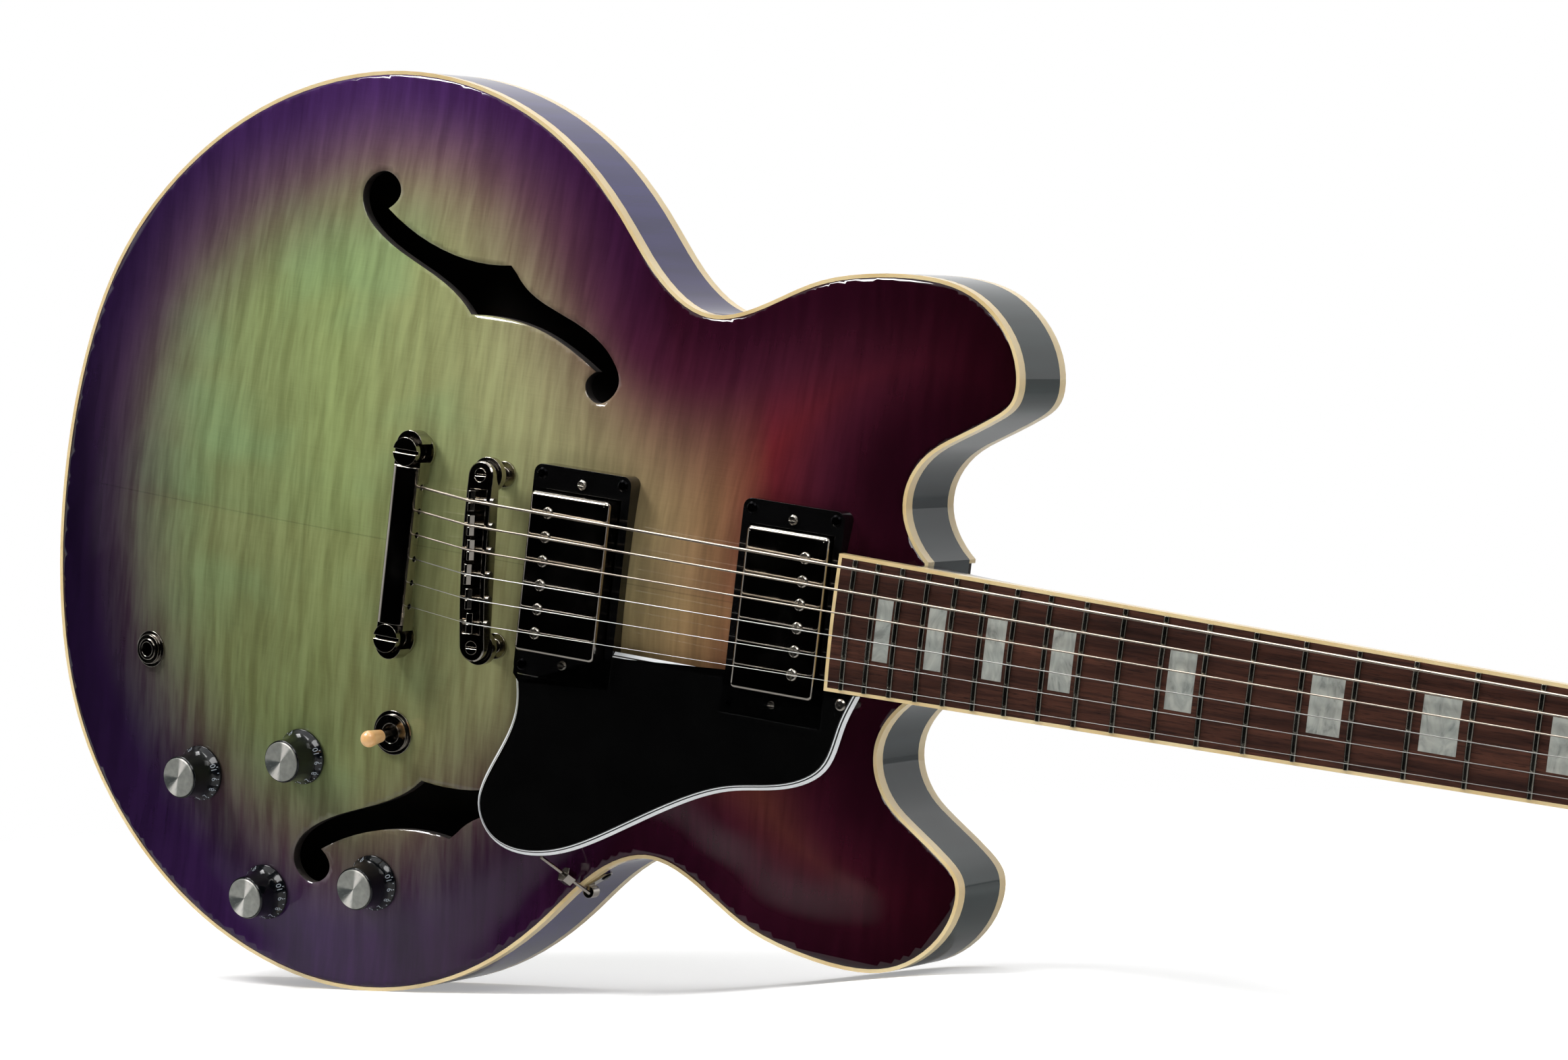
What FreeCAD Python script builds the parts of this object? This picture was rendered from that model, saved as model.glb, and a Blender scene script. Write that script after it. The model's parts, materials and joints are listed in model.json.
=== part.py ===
import FreeCAD, Part
import math
import os
import Sketcher
from FreeCAD import Placement, Rotation, Vector

# Driving sizes in millimetres and degrees. In the guitar's own frame X runs from the bridge
# line to the nut, Y to the bass side and Z out of the top, with Z = 0 at the front rim plane.
sizes = {
    # Body shell
    "bodyLength": 484.2,
    "tailToBridge": 252.0,
    "lowerBout": 406.2,
    "rimDepth": 41.0,
    "plateThickness": 5.0,
    "topRise": 15.5,
    "backRise": 11.0,
    "archEdge": 26.0,
    "archSoftness": 4.0,
    "archStep": 14.0,
    "boutCentre": -76.0,
    "archFrontStart": 60.0,
    "archFrontLength": 285.0,
    "bindingWidth": 1.6,
    "rimWall": 6.0,
    "blockWidth": 100.0,
    "glueGap": 0.3,
    # Neck and fretboard
    "scaleLength": 628.65,
    "neckPitch": 5.1,
    "boardHeight": 19.7,
    "boardDatum": 176.4,
    "boardThickness": 6.0,
    "boardRadius": 305.0,
    "boardOverhang": 7.8,
    "nutWidth": 43.0,
    "widthAtDatum": 57.0,
    "boardBindingWidth": 1.5,
    "fretCount": 22,
    "fretWidth": 2.6,
    "fretHeight": 1.1,
    "inlayDepth": 0.8,
    "neckRoot": 200.0,
    "neckRootWidth": 58.0,
    "neckDepthAtNut": 15.0,
    "neckDepthAtHeel": 18.0,
    "heelLength": 55.0,
    "tenonWidth": 40.0,
    "tenonDepth": 28.0,
    "tenonLength": 28.0,
    "trussRodRadius": 2.5,
    "trussRodDepth": 6.5,
    "nutThickness": 5.0,
    "nutRise": 2.2,
    # Headstock and tuners
    "headPitch": 14.0,
    "headLength": 182.0,
    "headWidth": 82.0,
    "headThickness": 14.0,
    "coverLength": 46.0,
    "coverWidth": 27.0,
    "coverThickness": 2.0,
    "tunerFirst": 46.0,
    "tunerPitch": 41.0,
    "tunerInset": 12.5,
    "postRadius": 3.1,
    "postHeight": 16.0,
    "bushingRadius": 5.0,
    "bushingFlange": 6.2,
    "bushingFlangeHeight": 1.6,
    "housingLength": 20.0,
    "housingWidth": 17.0,
    "housingHeight": 12.0,
    "housingWall": 1.2,
    "wheelRadius": 4.4,
    "wheelWidth": 4.0,
    "wormRadius": 2.2,
    "shaftRadius": 1.8,
    "buttonReach": 17.0,
    "buttonLength": 17.0,
    "buttonWidth": 20.0,
    "buttonThickness": 8.0,
    "stringHole": 0.9,
    "runningGap": 0.06,
    "movingGap": 0.3,
    # Strings
    "stringRadius": 0.58,
    "bridgeSpread": 52.4,
    "nutSpread": 35.0,
    "stringAtBridge": 4.3,
    "stringAtNut": 1.5,
    "windingTurns": 3,
    "windingGap": 0.5,
    "windingHeight": 10.0,
    "stringBend": 5.0,
    # Bridge and tailpiece
    "bridgeSlant": 3.7,
    "bridgeCentre": 0.3,
    "bridgeTop": 36.0,
    "bridgeHeight": 7.5,
    "bridgeLength": 86.0,
    "bridgeWidth": 12.6,
    "bridgeRound": 0.6,
    "bushingLip": 1.2,
    "bridgePostSpan": 74.0,
    "bridgePostRadius": 2.9,
    "bridgeBushingRadius": 5.6,
    "wheelNutRadius": 7.6,
    "wheelNutHeight": 3.2,
    "saddleChannel": 9.0,
    "saddleDepth": 4.6,
    "saddleWidth": 9.0,
    "saddleLength": 3.4,
    "saddleTravel": 1.4,
    "saddleScrewRadius": 1.1,
    "saddleHeadRadius": 1.7,
    "saddleHeadLength": 1.6,
    "tailpieceOffset": 45.8,
    "tailStudSpan": 81.6,
    "tailStudHead": 6.2,
    "tailStudShank": 4.0,
    "tailStudCollar": 8.0,
    "studNeckTop": 3.0,
    "studCollarHeight": 1.8,
    "tailBushingRadius": 6.4,
    "tailpieceLength": 100.0,
    "tailpieceWidth": 13.6,
    "tailpieceHeight": 10.5,
    "tailpieceTop": 28.5,
    "tailpieceRound": 4.0,
    "tailpieceHole": 6.0,
    "ballRadius": 1.9,
    # Pickups
    "pickupLength": 68.6,
    "pickupWidth": 38.6,
    "coverHeight": 18.0,
    "coverWall": 0.6,
    "coverRound": 2.2,
    "pickupPitch": 3.4,
    "pickupLegDrop": 5.0,
    "bridgePickupCentre": 42.3,
    "bridgeRingTop": 22.4,
    "bridgeCoverTop": 32.2,
    "neckPickupCentre": 144.0,
    "neckRingTop": 17.4,
    "neckCoverTop": 21.6,
    "ringLength": 90.4,
    "ringWidth": 47.4,
    "ringRound": 4.0,
    "ringGap": 0.6,
    "poleOffset": 9.5,
    "polePitchBridge": 10.3,
    "polePitchNeck": 9.76,
    "poleRadius": 2.4,
    "poleRise": 0.8,
    "poleLength": 17.0,
    "heightScrewSpan": 77.6,
    "heightScrewRadius": 1.4,
    "heightScrewHead": 2.2,
    "cavityGap": 1.2,
    "cavityFloor": 12.0,
    # Screws
    "woodScrewHead": 2.5,
    "woodScrewRadius": 1.2,
    "woodScrewLength": 12.0,
    "woodScrewRise": 0.8,
    # Pickguard
    "guardThickness": 2.6,
    "guardPitch": 2.5,
    "guardTop": 17.0,
    "guardDatum": 176.0,
    "bracketRodRadius": 0.8,
    "bracketNutRadius": 3.6,
    "bracketNutHeight": 4.6,
    "bracketBarrelRadius": 2.7,
    "bracketBarrelLength": 5.0,
    "bracketPlace": 56.0,
    "bracketScrewLevel": -9.0,
    "bracketAlongShare": 0.6055,
    "bracketAcrossShare": 0.6,
    "bracketFootLength": 8.0,
    "bracketFootWidth": 6.0,
    "bracketFootThickness": 1.0,
    # Controls
    "knobRadius": 12.4,
    "knobHeight": 16.0,
    "knobCapRadius": 8.6,
    "knobSkirt": 2.2,
    "knobGap": 0.6,
    "capThickness": 0.8,
    "potRadius": 12.0,
    "potHeight": 9.0,
    "potSeat": 0.9,
    "potBushingRadius": 4.6,
    "potNutRadius": 6.4,
    "potNutHeight": 2.2,
    "potShaftRadius": 3.0,
    "toggleBushingRadius": 5.8,
    "toggleNutRadius": 8.2,
    "toggleNutHeight": 2.4,
    "toggleBodySize": 20.0,
    "toggleBodyDepth": 16.0,
    "toggleBore": 4.4,
    "leverRadius": 1.5,
    "leverBall": 3.0,
    "leverLength": 10.0,
    "leverTipRadius": 3.7,
    "leverTipLength": 12.0,
    "jackBore": 3.3,
    "jackSleeve": 4.7,
    "jackNutRadius": 6.6,
    "jackNutHeight": 2.6,
    "jackLength": 20.0,
    "strapButtonRadius": 6.0,
    "strapButtonLength": 9.0,
    "strapButtonNeck": 3.6,
    # One overrun for every cut that goes right through
    "overrun": 2.0,
}

# Half outline of the body as shares of body length from the tail and of half the lower bout
outlineShares = [
    (0.0, 0.0), (0.0099, 0.276), (0.0417, 0.519), (0.1033, 0.726), (0.1871, 0.883),
    (0.2726, 0.969), (0.3635, 1.0), (0.4482, 0.971), (0.5246, 0.888), (0.5913, 0.751),
    (0.6382, 0.633), (0.6898, 0.5755), (0.7414, 0.6095), (0.7930, 0.673), (0.8457, 0.7055),
    (0.8942, 0.7154), (0.9438, 0.697), (0.9795, 0.637), (0.9983, 0.554), (0.9967, 0.484),
    (0.9799, 0.446), (0.9486, 0.399), (0.9232, 0.356), (0.9067, 0.288), (0.9062, 0.239),
    (0.9149, 0.190),
]

# Bass f-hole in the same shares: curves that meet at its corners
soundHoleShares = [
    [(0.3476, 0.7016), (0.3556, 0.7563), (0.3371, 0.7804), (0.3172, 0.7430), (0.3199, 0.6997),
     (0.3385, 0.6534), (0.3720, 0.6105), (0.4209, 0.5618), (0.4465, 0.5229), (0.4550, 0.5037)],
    [(0.4550, 0.5037), (0.4847, 0.5071), (0.5293, 0.4919), (0.5599, 0.4643), (0.5913, 0.4239)],
    [(0.5913, 0.4239), (0.5851, 0.3806), (0.5991, 0.3594), (0.6152, 0.3973), (0.6074, 0.4476),
     (0.5865, 0.4909), (0.5551, 0.5254), (0.5157, 0.5623), (0.4946, 0.6036)],
    [(0.4946, 0.6036), (0.4876, 0.6184)],
    [(0.4876, 0.6184), (0.4601, 0.6140), (0.4149, 0.6297), (0.3831, 0.6558), (0.3476, 0.7016)],
]

# Free edge of the pickguard in the same shares, from the bridge pickup round to the neck
guardShares = [
    (0.5595, -0.2285), (0.5632, -0.2989), (0.5397, -0.4530), (0.5351, -0.5126),
    (0.5514, -0.5785), (0.6002, -0.5992), (0.6724, -0.5268), (0.7359, -0.4357),
    (0.7867, -0.3836), (0.8385, -0.3580), (0.8767, -0.3003), (0.8891, -0.2048),
    (0.8990, -0.1452),
]

# Half headstock outline as shares of its length and of half its width
headShares = [
    (0.0, 0.53), (0.07, 0.60), (0.17, 0.86), (0.30, 0.95), (0.62, 0.97), (0.88, 1.0),
    (0.965, 0.86), (0.985, 0.45), (1.0, 0.0),
]

# Places of the four knobs, the toggle switch and the jack on the top, in the same shares
knobShares = {
    "knob_bridge_tone": (0.2034, -0.5928),
    "knob_bridge_volume": (0.3226, -0.5052),
    "knob_neck_tone": (0.2871, -0.8242),
    "knob_neck_volume": (0.4083, -0.7494),
}
toggleShares = (0.4221, -0.4116)
jackShares = (0.1311, -0.3427)

# String radii from the low E to the high E, as shares of the low E's
stringShares = [1.0, 0.79, 0.57, 0.38, 0.29, 0.22]

# Saddle places that set the strings' lengths, as shares of the saddle's travel to each side
saddleShares = [-0.79, -0.36, 0.14, -0.5, 0.07, 0.57]

# Frets whose space towards the nut holds a position block
inlayFrets = [1, 3, 5, 7, 9, 12, 15, 17, 19, 21]
# An inlay's length as a share of the space between its frets, and its width of the board's
inlayLengthShare = 0.62
inlayWidthShare = 0.455
# Place of the bracket's nut along its rod
bracketNutShare = 0.63
# Halvings in the search for the angle at which the guitar stands
standingSteps = 40

doc = FreeCAD.newDocument("semi_hollow_guitar")
sheet = doc.addObject("Spreadsheet::Sheet", "sizes")
for row, (alias, value) in enumerate(sizes.items(), start=1):
    sheet.set(f"A{row}", alias)
    sheet.set(f"B{row}", str(value))
    sheet.setAlias(f"B{row}", alias)
doc.recompute()


# The current value of one cell of the sheet
def size(alias):
    return float(getattr(sheet, alias))


halfBout = size("lowerBout") / 2
plate = size("plateThickness")
rimDepth = size("rimDepth")
over = size("overrun")
stringRadii = [share * size("stringRadius") for share in stringShares]
stringCount = len(stringRadii)
axisX = Vector(1, 0, 0)
axisY = Vector(0, 1, 0)
axisZ = Vector(0, 0, 1)


# A point of the body's plan from its two shares
def planPoint(shares, side=1, height=0):
    along, across = shares
    return Vector(along * size("bodyLength") - size("tailToBridge"), side * across * halfBout, height)


knobPlaces = {name: planPoint(shares) for name, shares in knobShares.items()}
togglePlace = planPoint(toggleShares)
jackPlace = planPoint(jackShares)


# An edge that passes smoothly through the given points
def smoothEdge(points):
    if len(points) == 2:
        return Part.makeLine(*points)
    curve = Part.BSplineCurve()
    curve.interpolate(points)
    return curve.toShape()


# A box given by its two opposite corners
def boxBetween(low, high):
    return Part.makeBox(high[0] - low[0], high[1] - low[1], high[2] - low[2], Vector(*low))


# A solid turned from a half profile of (radius, height) pairs round Z
def turned(profile):
    points = [Vector(radius, 0, height) for radius, height in profile]
    face = Part.Face(Part.makePolygon(points + points[:1]))
    return face.revolve(Vector(), axisZ, 360)


# A straight round rod between two points
def rodBetween(start, end, radius):
    return Part.makeCylinder(radius, start.distanceToPoint(end), start, end - start)


# A hexagonal prism round Z
def hexPrism(acrossCorners, low, high):
    corners = [Vector(acrossCorners * math.cos(turn), acrossCorners * math.sin(turn), low)
               for turn in (math.pi / 3 * k for k in range(7))]
    return Part.Face(Part.makePolygon(corners)).extrude(Vector(0, 0, high - low))


# Body outline

rootHalf = size("neckRootWidth") / 2
rootX = size("neckRoot")
bassPoints = [planPoint(shares) for shares in outlineShares] + [Vector(rootX, rootHalf, 0)]
treblePoints = [Vector(point.x, -point.y, 0) for point in bassPoints[:0:-1]]
outlineEdge = smoothEdge(treblePoints + bassPoints)
rootLine = Part.makeLine(bassPoints[-1], treblePoints[0])
outlineWire = Part.Wire([outlineEdge, rootLine])
outlineSamples = outlineEdge.discretize(Number=260) + rootLine.discretize(Number=16)[1:]


# A prism of the body outline, drawn in by a distance, between two heights
def bodyPrism(inset, low, high):
    wire = outlineWire if inset == 0 else outlineWire.makeOffset2D(-inset).toNurbs().Wires[0]
    prism = Part.Face(wire).extrude(Vector(0, 0, high - low))
    prism.translate(Vector(0, 0, low))
    return prism


# Half width of the body at one place along it
def halfWidthAt(x):
    widest = 0
    for first, second in zip(outlineSamples, outlineSamples[1:]):
        if min(first.x, second.x) <= x <= max(first.x, second.x) and first.x != second.x:
            share = (x - first.x) / (second.x - first.x)
            widest = max(widest, abs(first.y + share * (second.y - first.y)))
    return widest


# Distance in from the outline, rounded off where two edges are equally near
def softDistance(x, y):
    softness = size("archSoftness")
    total = 0
    for first, second in zip(outlineSamples, outlineSamples[1:]):
        away = math.hypot(first.x - x, first.y - y)
        total += math.exp(-away / softness) * first.distanceToPoint(second)
    return max(0, -softness * math.log(total / (2 * softness) + math.exp(-size("bodyLength") / softness)))


# Whether a point lies inside the body outline
def insideOutline(x, y):
    inside = False
    for first, second in zip(outlineSamples, outlineSamples[1:] + outlineSamples[:1]):
        if (first.y > y) != (second.y > y):
            crossing = first.x + (y - first.y) / (second.y - first.y) * (second.x - first.x)
            if x < crossing:
                inside = not inside
    return inside


# Share of the full rise that the arch has at one place: an ellipse behind the widest line,
# the half width in front of it, a fall towards the neck and a rounded drop to every edge
def archShare(x, y):
    if not insideOutline(x, y):
        return 0
    widest = size("boutCentre")
    if x < widest:
        behind = (widest - x) / (size("tailToBridge") + widest)
        reach = behind * behind + (y / halfBout) ** 2
    else:
        ahead = max(0, x - size("archFrontStart")) / size("archFrontLength")
        reach = (y / halfWidthAt(x)) ** 2 + ahead * ahead
    edge = min(1, softDistance(x, y) / size("archEdge"))
    return max(0, 1 - reach) ** 1.5 * edge * edge * (3 - 2 * edge)


def topHeight(x, y):
    return size("topRise") * archShare(x, y)


def backHeight(x, y):
    return -rimDepth - size("backRise") * archShare(x, y)


# A smooth arched face over the whole body, from a grid of heights
def archFace(shares, rise, level):
    surface = Part.BSplineSurface()
    surface.interpolate([[Vector(x, y, level + rise * share) for x, y, share in line]
                         for line in shares])
    return surface.toShape()


# The grid of heights that both plates share
def archGrid():
    step = size("archStep")
    margin = 2 * step
    lengths = int((size("bodyLength") + 2 * margin) / step)
    widths = int((size("lowerBout") / 2 + margin) / step)
    xs = [margin * -1 - size("tailToBridge") + step * k for k in range(lengths + 1)]
    ys = [step * k for k in range(-widths, widths + 1)]
    return [[(x, y, archShare(x, y)) for y in ys] for x in xs]


grid = archGrid()
topFace = archFace(grid, size("topRise"), 0)
backFace = archFace(grid, -size("backRise"), -rimDepth)
tall = rimDepth + size("topRise") + size("boardHeight")
topSlab = topFace.extrude(Vector(0, 0, -plate))
backSlab = backFace.extrude(Vector(0, 0, plate))
underTop = topFace.extrude(Vector(0, 0, -tall))
aboveTopInside = topFace.extrude(Vector(0, 0, 2 * tall))
aboveTopInside.translate(Vector(0, 0, -plate))
belowBackInside = backFace.extrude(Vector(0, 0, -tall))
belowBackInside.translate(Vector(0, 0, plate))

# Local frames. Each is a placement in the guitar's own frame

pitch = math.radians(size("neckPitch"))
datum = size("boardDatum")
scale = size("scaleLength")
board = size("boardThickness")

# Neck: X along the fretboard from the bridge line, Z = 0 on the crown of the board
neckStart = Vector(datum - datum * math.cos(pitch), 0, size("boardHeight") + datum * math.sin(pitch))
neckFrame = Placement(neckStart, Rotation(axisY, size("neckPitch")))
# Headstock: X from the front of the nut, Z = 0 on its face
headFrame = neckFrame.multiply(Placement(Vector(scale + size("nutThickness"), 0, -board),
                                         Rotation(axisY, size("headPitch"))))
# Bridge: Z = 0 at its top
bridgeFrame = Placement(Vector(size("bridgeCentre"), 0, size("bridgeTop")),
                        Rotation(axisZ, size("bridgeSlant")))
# Tailpiece: Z = 0 at its top
tailFrame = Placement(Vector(-size("tailpieceOffset"), 0, size("tailpieceTop")), Rotation())
# Pickguard: Z = 0 at its upper face
guardFrame = Placement(Vector(size("guardDatum"), 0, size("guardTop")), Rotation(axisY, size("guardPitch")))


# A pickup: X = 0 at its centre, Z = 0 at the top of its ring or a rise above that
def pickupFrame(centre, ringTop, rise=0):
    frame = Placement(Vector(centre, 0, ringTop), Rotation(axisY, size("pickupPitch")))
    return frame.multiply(Placement(Vector(0, 0, rise), Rotation()))


# A frame that stands square on an arched plate, whose heights a function gives
def standingFrame(place, height, up):
    x, y = place.x, place.y
    step = size("archStep") / 2
    slopeX = (height(x + step, y) - height(x - step, y)) / (2 * step)
    slopeY = (height(x, y + step) - height(x, y - step)) / (2 * step)
    return Placement(Vector(x, y, height(x, y)), Rotation(axisZ, Vector(-slopeX, -slopeY, 1) * up))


def topFrame(place):
    return standingFrame(place, topHeight, 1)


# Half width of the fretboard at a distance from the bridge line
def boardHalf(x):
    share = (scale - x) / (scale - datum)
    return (size("nutWidth") + (size("widthAtDatum") - size("nutWidth")) * share) / 2


# Distance of a fret from the bridge line
def fretPlace(number):
    return scale / 2 ** (number / 12)


# Drop of the curved board below its crown
def crownDrop(y):
    radius = size("boardRadius")
    return radius - math.sqrt(radius * radius - y * y)


# Tuner places on the headstock, numbered from the low E round to the high E
def tunerPlace(number):
    rank = number if number < 3 else 5 - number
    side = 1 if number < 3 else -1
    x = size("tunerFirst") + rank * size("tunerPitch")
    return x, side * (size("headWidth") / 2 - size("tunerInset")), side


# How the guitar rests: on its treble side, with its lower bout and its lowest tuner button on
# the floor. A tuner's worm lies beside the wheel on its post
wormOffset = size("wheelRadius") + size("wormRadius") + size("movingGap")
lowX, lowY, _ = tunerPlace(stringCount // 2)
lowButton = headFrame.multVec(Vector(lowX + wormOffset, -size("headWidth") / 2 - size("buttonReach"),
                                     -size("headThickness") - size("housingHeight") / 2))


# Height above the floor of a point of the treble side, for one tilt of the guitar
def heightAt(point, tilt):
    return point.y * math.cos(tilt) - point.x * math.sin(tilt)


# How far the rounded thumb piece of a button reaches down from its middle
def buttonReachDown(tilt):
    down = headFrame.Rotation.inverted().multVec(Vector(-math.sin(tilt), math.cos(tilt), 0))
    return Vector(down.x * size("buttonWidth"), down.y * size("buttonLength"),
                  down.z * size("buttonThickness")).Length / 2


def restingTilt():
    low, high = 0, math.pi / 4
    for _ in range(standingSteps):
        tilt = (low + high) / 2
        bout = min(heightAt(point, tilt) for point in outlineSamples)
        if heightAt(lowButton, tilt) - buttonReachDown(tilt) > bout:
            low = tilt
        else:
            high = tilt
    return tilt


tilt = restingTilt()
lowest = min(outlineSamples, key=lambda point: heightAt(point, tilt))
standing = Rotation(axisY, math.degrees(tilt)).multiply(Rotation(axisX, 90))
stance = Placement(-standing.multVec(Vector(lowest.x, lowest.y, -rimDepth / 2)), standing)
print(f"tilt {math.degrees(tilt):.2f} lowest point {lowest.x:.1f} {lowest.y:.1f}")

pieces = {}


# Name a finished sub-part and put it in its place on the standing guitar
def settle(piece, name, frame=Placement()):
    piece.Label = name
    piece.Placement = stance.multiply(frame)
    pieces[name] = piece
    return piece


# A sub-part, or a group of alike ones, whose shape is worked out here
def shaped(name, solids, frame=Placement()):
    piece = doc.addObject("Part::Feature", name)
    piece.Shape = solids[0] if len(solids) == 1 else Part.makeCompound(solids)
    return settle(piece, name, frame)


# A primitive or boolean of the document with its sizes bound to the sheet
def bound(kind, name, **expressions):
    piece = doc.addObject(kind, name)
    for field, expression in expressions.items():
        piece.setExpression(field, expression)
    return piece


# A shape moved from a local frame into the guitar's own frame
def moved(shape, frame):
    copy = shape.copy()
    copy.transformShape(frame.toMatrix(), True)
    return copy


def newBody(name):
    return doc.addObject("PartDesign::Body", name)


# A sketch on one of the body's own origin planes
def newSketch(body, role):
    sketch = body.newObject("Sketcher::SketchObject", body.Name + "_sketch")
    plane = [item for item in body.Origin.OriginFeatures if item.Role == role][0]
    sketch.AttachmentSupport = (plane, [""])
    sketch.MapMode = "FlatFace"
    return sketch


# A rectangle about the sketch's origin, bound to two expressions on the sheet
def centredRectangle(sketch, wide, high, wideExpression, highExpression):
    x, y = wide / 2, high / 2
    corners = [Vector(-x, -y, 0), Vector(x, -y, 0), Vector(x, y, 0), Vector(-x, y, 0)]
    first = sketch.GeometryCount
    for k in range(4):
        sketch.addGeometry(Part.LineSegment(corners[k], corners[(k + 1) % 4]), False)
    for k in range(4):
        sketch.addConstraint(Sketcher.Constraint("Coincident", first + k, 2, first + (k + 1) % 4, 1))
        direction = "Horizontal" if k % 2 == 0 else "Vertical"
        sketch.addConstraint(Sketcher.Constraint(direction, first + k))
    sketch.addConstraint(Sketcher.Constraint("Symmetric", first, 1, first + 2, 1, -1, 1))
    across = sketch.addConstraint(Sketcher.Constraint("DistanceX", first, 1, first, 2, wide))
    up = sketch.addConstraint(Sketcher.Constraint("DistanceY", first + 1, 1, first + 1, 2, high))
    sketch.setExpression(f"Constraints[{across}]", wideExpression)
    sketch.setExpression(f"Constraints[{up}]", highExpression)


# A closed run of straight lines in a sketch
def polyline(sketch, points):
    first = sketch.GeometryCount
    count = len(points)
    for k in range(count):
        sketch.addGeometry(Part.LineSegment(points[k], points[(k + 1) % count]), False)
    for k in range(count):
        sketch.addConstraint(Sketcher.Constraint("Coincident", first + k, 2, first + (k + 1) % count, 1))


# Edges of a shape that run along one direction, by name
def edgesAlong(shape, direction, test=lambda centre: True):
    names = []
    for number, edge in enumerate(shape.Edges, start=1):
        ends = edge.Vertexes
        if len(ends) == 2:
            run = ends[1].Point - ends[0].Point
            if run.Length > 0 and abs(run.normalize().dot(direction)) > 0.999 and test(edge.CenterOfMass):
                names.append(f"Edge{number}")
    return names


# Where the bracket's foot lies on the treble rim: X along the rim, Z straight out of it
def rimFrame(along):
    treble = (point for point in outlineSamples if point.y < 0)
    points = sorted(treble, key=lambda point: abs(point.x - along))
    first, second = sorted(points[:2], key=lambda point: point.x)
    share = (along - first.x) / (second.x - first.x)
    way = Vector(second - first).normalize()
    out = way.cross(axisZ)
    return Placement(first + (second - first) * share, Rotation(way, axisZ, out, "ZXY"))


bracketFrame = rimFrame(size("bracketPlace"))

# Fasteners, drawn once and repeated

def woodScrew(length):
    head, shank, rise = size("woodScrewHead"), size("woodScrewRadius"), size("woodScrewRise")
    return turned([(0, rise), (head * 0.7, rise * 0.8), (head, 0), (shank, -rise), (shank, rise - length),
                   (0, -length)])


# Where each wood screw stands: a frame and a length
def woodScrewFrames():
    length = size("woodScrewLength")
    frames = []
    for centre, top in ((size("bridgePickupCentre"), size("bridgeRingTop")),
                        (size("neckPickupCentre"), size("neckRingTop"))):
        x = size("ringWidth") / 2 - size("ringRound")
        y = size("ringLength") / 2 - size("ringRound")
        for sideX in (-1, 1):
            for sideY in (-1, 1):
                corner = Placement(Vector(sideX * x, sideY * y, 0), Rotation())
                spot = pickupFrame(centre, top).multiply(corner)
                frames.append((spot, length + (top - size("neckRingTop"))))
    frames.append((guardFrame.multiply(Placement(guardScrewPlace(), Rotation())), size("guardTop")))
    for x, y in coverScrewPlaces():
        spot = headFrame.multiply(Placement(Vector(x, y, size("coverThickness")), Rotation()))
        frames.append((spot, length / 2 + size("coverThickness")))
    spot = Placement(Vector(0, size("bracketScrewLevel"), size("bracketFootThickness")), Rotation())
    frames.append((bracketFrame.multiply(spot), length / 2))
    return frames


def guardScrewPlace():
    return Vector(0, -size("widthAtDatum") / 2 - 2 * size("woodScrewHead"), 0)


# Truss rod cover: its two screw places, in the headstock frame
def coverScrewPlaces():
    edge = 2 * size("woodScrewHead")
    start = plate / 2 + edge
    return [(start, -size("coverWidth") / 4), (start, size("coverWidth") / 4),
            (plate / 2 + size("coverLength") - edge, 0)]


# Solids that clear the countersunk holes of all wood screws, in the guitar's frame
def woodScrewHoles():
    head, shank, rise = size("woodScrewHead"), size("woodScrewRadius"), size("woodScrewRise")
    rim = [(0, over), (head, over), (head, 0), (shank, -rise)]
    return [moved(turned(rim + [(shank, -length), (0, -length)]), frame)
            for frame, length in woodScrewFrames()]


screwHoles = woodScrewHoles()


# The same solids as one sub-part's own frame sees them
def localHoles(frame):
    return [moved(hole, frame.inverse()) for hole in screwHoles]


# Openings through the top
toggleFrame = topFrame(togglePlace)

def pickupCavity(centre):
    wide = size("pickupWidth") + 2 * size("cavityGap")
    long = size("pickupLength") + 2 * size("cavityGap")
    low, high = (centre - wide / 2, -long / 2, -size("cavityFloor")), (centre + wide / 2, long / 2, tall)
    return boxBetween(low, high)


# Room under each pickup for the ears that its height screws hold
def earCavity(centre):
    wide = 6 * size("heightScrewHead")
    long = size("heightScrewSpan") + 4 * size("heightScrewHead")
    low, high = (centre - wide / 2, -long / 2, -size("cavityFloor")), (centre + wide / 2, long / 2, tall)
    return boxBetween(low, high)


def soundHole(side):
    edges = [smoothEdge([planPoint(shares, side, -over) for shares in curve]) for curve in soundHoleShares]
    return Part.Face(Part.Wire(edges)).extrude(Vector(0, 0, tall))


def controlHole(place, radius):
    hole = Part.makeCylinder(radius, 2 * tall, Vector(0, 0, -tall / 2))
    return moved(hole, topFrame(place))


def postPlaces(span, frame):
    return [frame.multVec(Vector(0, side * span / 2, 0)) for side in (-1, 1)]


def postHole(place, radius, depth):
    return Part.makeCylinder(radius, tall + depth, Vector(place.x, place.y, -depth))


bridgePosts = postPlaces(size("bridgePostSpan"), bridgeFrame)
tailPosts = postPlaces(size("tailStudSpan"), tailFrame)
bushingDepth = rimDepth / 2
controlHoles = [controlHole(place, size("potBushingRadius")) for place in knobPlaces.values()]
controlHoles.append(controlHole(togglePlace, size("toggleBushingRadius")))
controlHoles.append(controlHole(jackPlace, size("jackSleeve")))
bushingHoles = [postHole(place, size("bridgeBushingRadius"), bushingDepth) for place in bridgePosts]
bushingHoles += [postHole(place, size("tailBushingRadius"), bushingDepth) for place in tailPosts]
pickupHoles = []
for centre in (size("bridgePickupCentre"), size("neckPickupCentre")):
    pickupHoles += [pickupCavity(centre), earCavity(centre)]

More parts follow.
